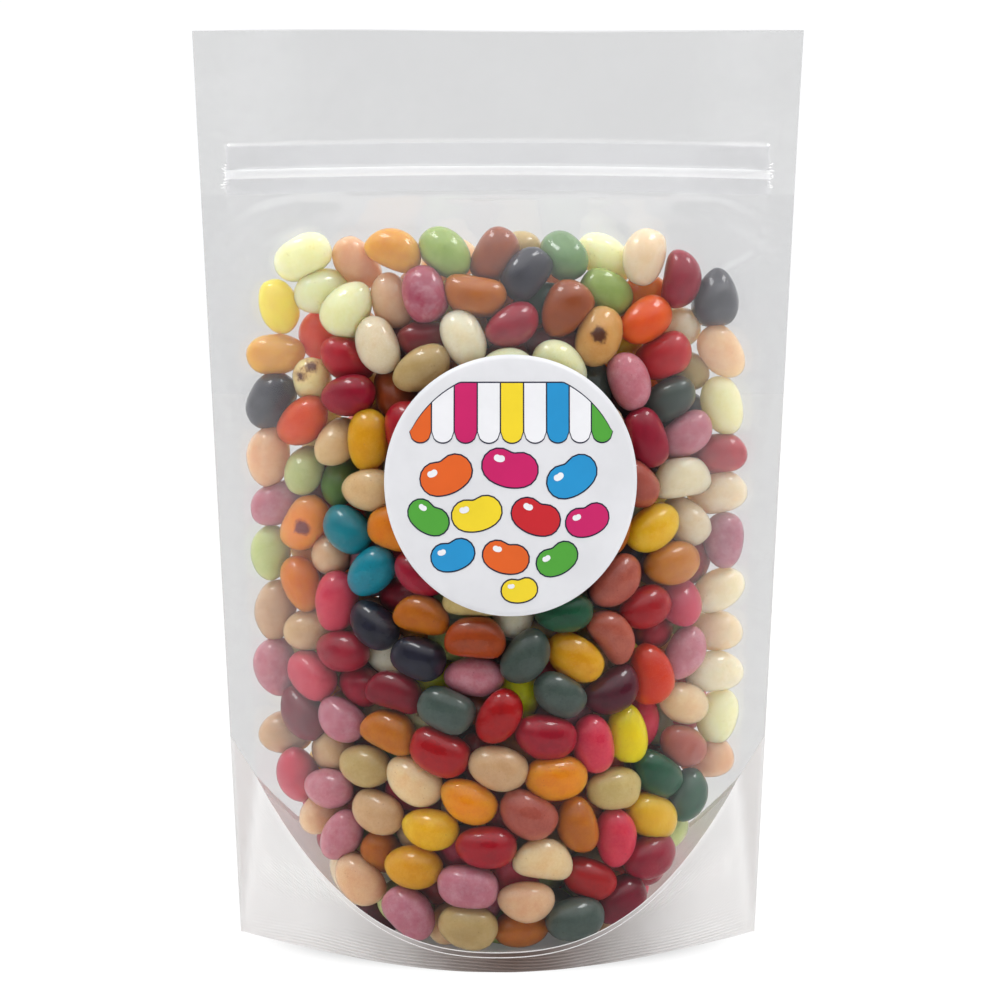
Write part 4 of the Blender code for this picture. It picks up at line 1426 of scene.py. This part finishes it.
stageLook = {
    "backdrop": 1.04,
    "mirrored": (-0.25, 0.60, (0.06, 0.95)),    # a dark room in front, the pale backdrop behind
    "ceiling": (0.30, 0.85, (0.0, 1.30)),
    "room": (-0.75, 0.15, (0.49, 1.75)),        # soft light from the front and from behind
    "boxes": {"softboxLeft": (-0.40, -0.16, 0.92), "softboxRight": (0.42, -0.12, 0.90)},
    "boxSize": (0.34, 0.18),
    "boxPower": 2.5,
    "boxTarget": (0, 0, 0.10),
    "floorSize": 8.0,
    "floorLevel": -0.0003,
    "floorBlend": 0.92,        # how far the floor runs into the backdrop
    "shadowSize": (0.064, 0.036),    # the painted shadow that the pouch stands on
    "shadowFade": (0.55, 1.0, (0.22, 1.04)),    # from its middle out to the backdrop
    "lens": 72.5,
    "cameraPlace": (0.0006, -0.509, 0.147),
    "cameraPitch": 85.99,
}


def makeWorld():
    world = bpy.data.worlds.new("paleRoom")
    bpy.context.scene.world = world
    world.use_nodes = True
    tree = world.node_tree
    tree.nodes.clear()
    rays = addNode(tree, "ShaderNodeLightPath").outputs
    parts = splitPlace(tree, addNode(tree, "ShaderNodeTexCoord").outputs["Generated"])
    behind = rangeNode(tree, parts["Y"], *stageLook["mirrored"])
    overhead = rangeNode(tree, parts["Z"], *stageLook["ceiling"])
    mirrored = mathNode(tree, "MAXIMUM", behind, overhead)
    room = rangeNode(tree, parts["Y"], *stageLook["room"])
    lights = []
    for strength in (room, mirrored, stageLook["backdrop"]):
        inputs = {"Color": (0.985, 0.99, 1, 1), "Strength": strength}
        lights.append(addNode(tree, "ShaderNodeBackground", inputs).outputs[0])
    shown = mixShaders(tree, rays["Is Glossy Ray"], lights[0], lights[1])
    shown = mixShaders(tree, rays["Is Camera Ray"], shown, lights[2])
    addNode(tree, "ShaderNodeOutputWorld", {"Surface": shown})


def makeLamps():
    target = Vector(stageLook["boxTarget"])
    for name, place in stageLook["boxes"].items():
        lamp = bpy.data.lights.new(name, "AREA")
        lamp.shape = "RECTANGLE"
        lamp.size, lamp.size_y = stageLook["boxSize"]
        lamp.energy = stageLook["boxPower"]
        box = bpy.data.objects.new(name, lamp)
        bpy.context.scene.collection.objects.link(box)
        box.location = place
        box.rotation_euler = (target - Vector(place)).to_track_quat("-Z", "Y").to_euler()


def floorMaterial():
    material, tree, output = newMaterial("paleFloor")
    place = objectPlace(tree)
    tint = mixColours(tree, noiseNode(tree, place, 3.0), (0.84, 0.84, 0.84, 1), (0.87, 0.87, 0.87, 1))
    shown = addNode(tree, "ShaderNodeBsdfPrincipled", {
        "Base Color": tint, "Roughness": 0.8, "Specular IOR Level": 0.1}).outputs[0]
    # A painted shadow under the pouch, fading out into the even backdrop
    across, deep = stageLook["shadowSize"]
    inverse = {0: place, 1: (1 / across, 1 / deep, 0)}
    spread = addNode(tree, "ShaderNodeVectorMath", inverse, operation="MULTIPLY").outputs[0]
    outward = addNode(tree, "ShaderNodeVectorMath", {0: spread}, operation="LENGTH").outputs["Value"]
    shadow = rangeNode(tree, outward, *stageLook["shadowFade"])
    glow = addNode(tree, "ShaderNodeEmission", {"Strength": shadow}).outputs[0]
    shade = addNode(tree, "ShaderNodeBsdfDiffuse", {"Color": (0.12, 0.12, 0.12, 1)}).outputs[0]
    rays = addNode(tree, "ShaderNodeLightPath").outputs
    for ray, other in (("Is Camera Ray", glow), ("Is Glossy Ray", shade)):
        shown = mixShaders(tree, times(tree, rays[ray], stageLook["floorBlend"]), shown, other)
    tree.links.new(shown, output)
    return material


def makeFloor():
    size, level = stageLook["floorSize"], stageLook["floorLevel"]
    corners = [(-size, -size, level), (size, -size, level), (size, size, level), (-size, size, level)]
    mesh = bpy.data.meshes.new("floor")
    mesh.from_pydata(corners, [], [(0, 1, 2, 3)])
    mesh.materials.append(floorMaterial())
    floor = bpy.data.objects.new("floor", mesh)
    bpy.context.scene.collection.objects.link(floor)


def makeCamera():
    camera = bpy.data.objects.new("photoCamera", bpy.data.cameras.new("photoCamera"))
    camera.data.lens = stageLook["lens"]
    camera.data.sensor_width = 36
    camera.data.clip_start = 0.01
    camera.location = stageLook["cameraPlace"]
    camera.rotation_euler = (math.radians(stageLook["cameraPitch"]), 0, 0)
    bpy.context.scene.collection.objects.link(camera)
    bpy.context.scene.camera = camera


# Put it together

bpy.context.scene.view_settings.view_transform = "Standard"
makeWorld()
makeLamps()
makeFloor()
makeCamera()

shapes, colours, tones, faces = makeBeans(np.random.default_rng(beanFill["seed"]))
beanPieces = joinBeans(shapes, colours, tones, faces)
shell, spots = makeShellGroup(), makeSpotsGroup()
for name, piece in beanPieces.items():
    piece.data.materials.append(candyMaterial(name, candyColours[name], shell, spots))
report(f"beans made, {sum(len(piece.data.polygons) for piece in beanPieces.values()) * 2} triangles")

allPoints = np.concatenate([points for points, _ in shapes])
allFaces = np.concatenate([faces + len(shapes[0][0]) * count for count in range(len(shapes))])
heap = BVHTree.FromPolygons(allPoints.tolist(), allFaces.tolist())
filmPanels = makeFilm(heap)
report("film draped")
ripple, hazeAndBacklight = makeFilmGroup(), makeHazeAndBacklightGroup()
finishes = {name: filmMaterial(name, ripple, hazeAndBacklight, look) for name, look in filmLooks.items()}
for piece, names in ((filmPanels, ("clearFilm", "headerFilm", "beadHighlightFilm")), (makeSkirt(), ("sealedFilm",)),
                     (makeGusset(heap), ("gussetFilm",)), (makeSeam(), ("seamFilm",)),
                     (makeZipEnds(), ("crushedPlastic",))):
    for name in names:
        piece.data.materials.append(finishes[name])
panels = filmPanels.data.polygons
centres = np.empty(len(panels) * 3, np.float32)
panels.foreach_get("center", centres)
x, y, z = centres.reshape(-1, 3).T
# The front sheet's faces over the bead carry the painted bead highlight
onBead = (np.abs(z - beadLine(x)) < zipTrack["beadHalfWidth"]) & (np.abs(x) < zipTrack["halfLength"])
inHeader = z > film["headerStart"]
panels.foreach_set("material_index", np.where(onBead & (y < 0), 2, inHeader).astype(np.int32))
for name in ("zip_rail_front", "zip_rail_back"):
    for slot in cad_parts[name].material_slots:
        slot.material = finishes["zipPlastic"]

fibre = makePaperGroup()
ground = paperMaterial("labelPaper", paint(*paperLook["ground"]), fibre, paperLook["groundRoughness"])
makeLabel().data.materials.append(ground)
printPiece, inks = makeLabelPrint()
for name, colour in labelPrint["inks"].items():
    ink = paperMaterial("labelInk_" + name, paint(*colour), fibre, paperLook["inkRoughness"])
    printPiece.data.materials.append(ink)
printPiece.data.polygons.foreach_set("material_index", np.array(inks, np.int32))
report("label made")
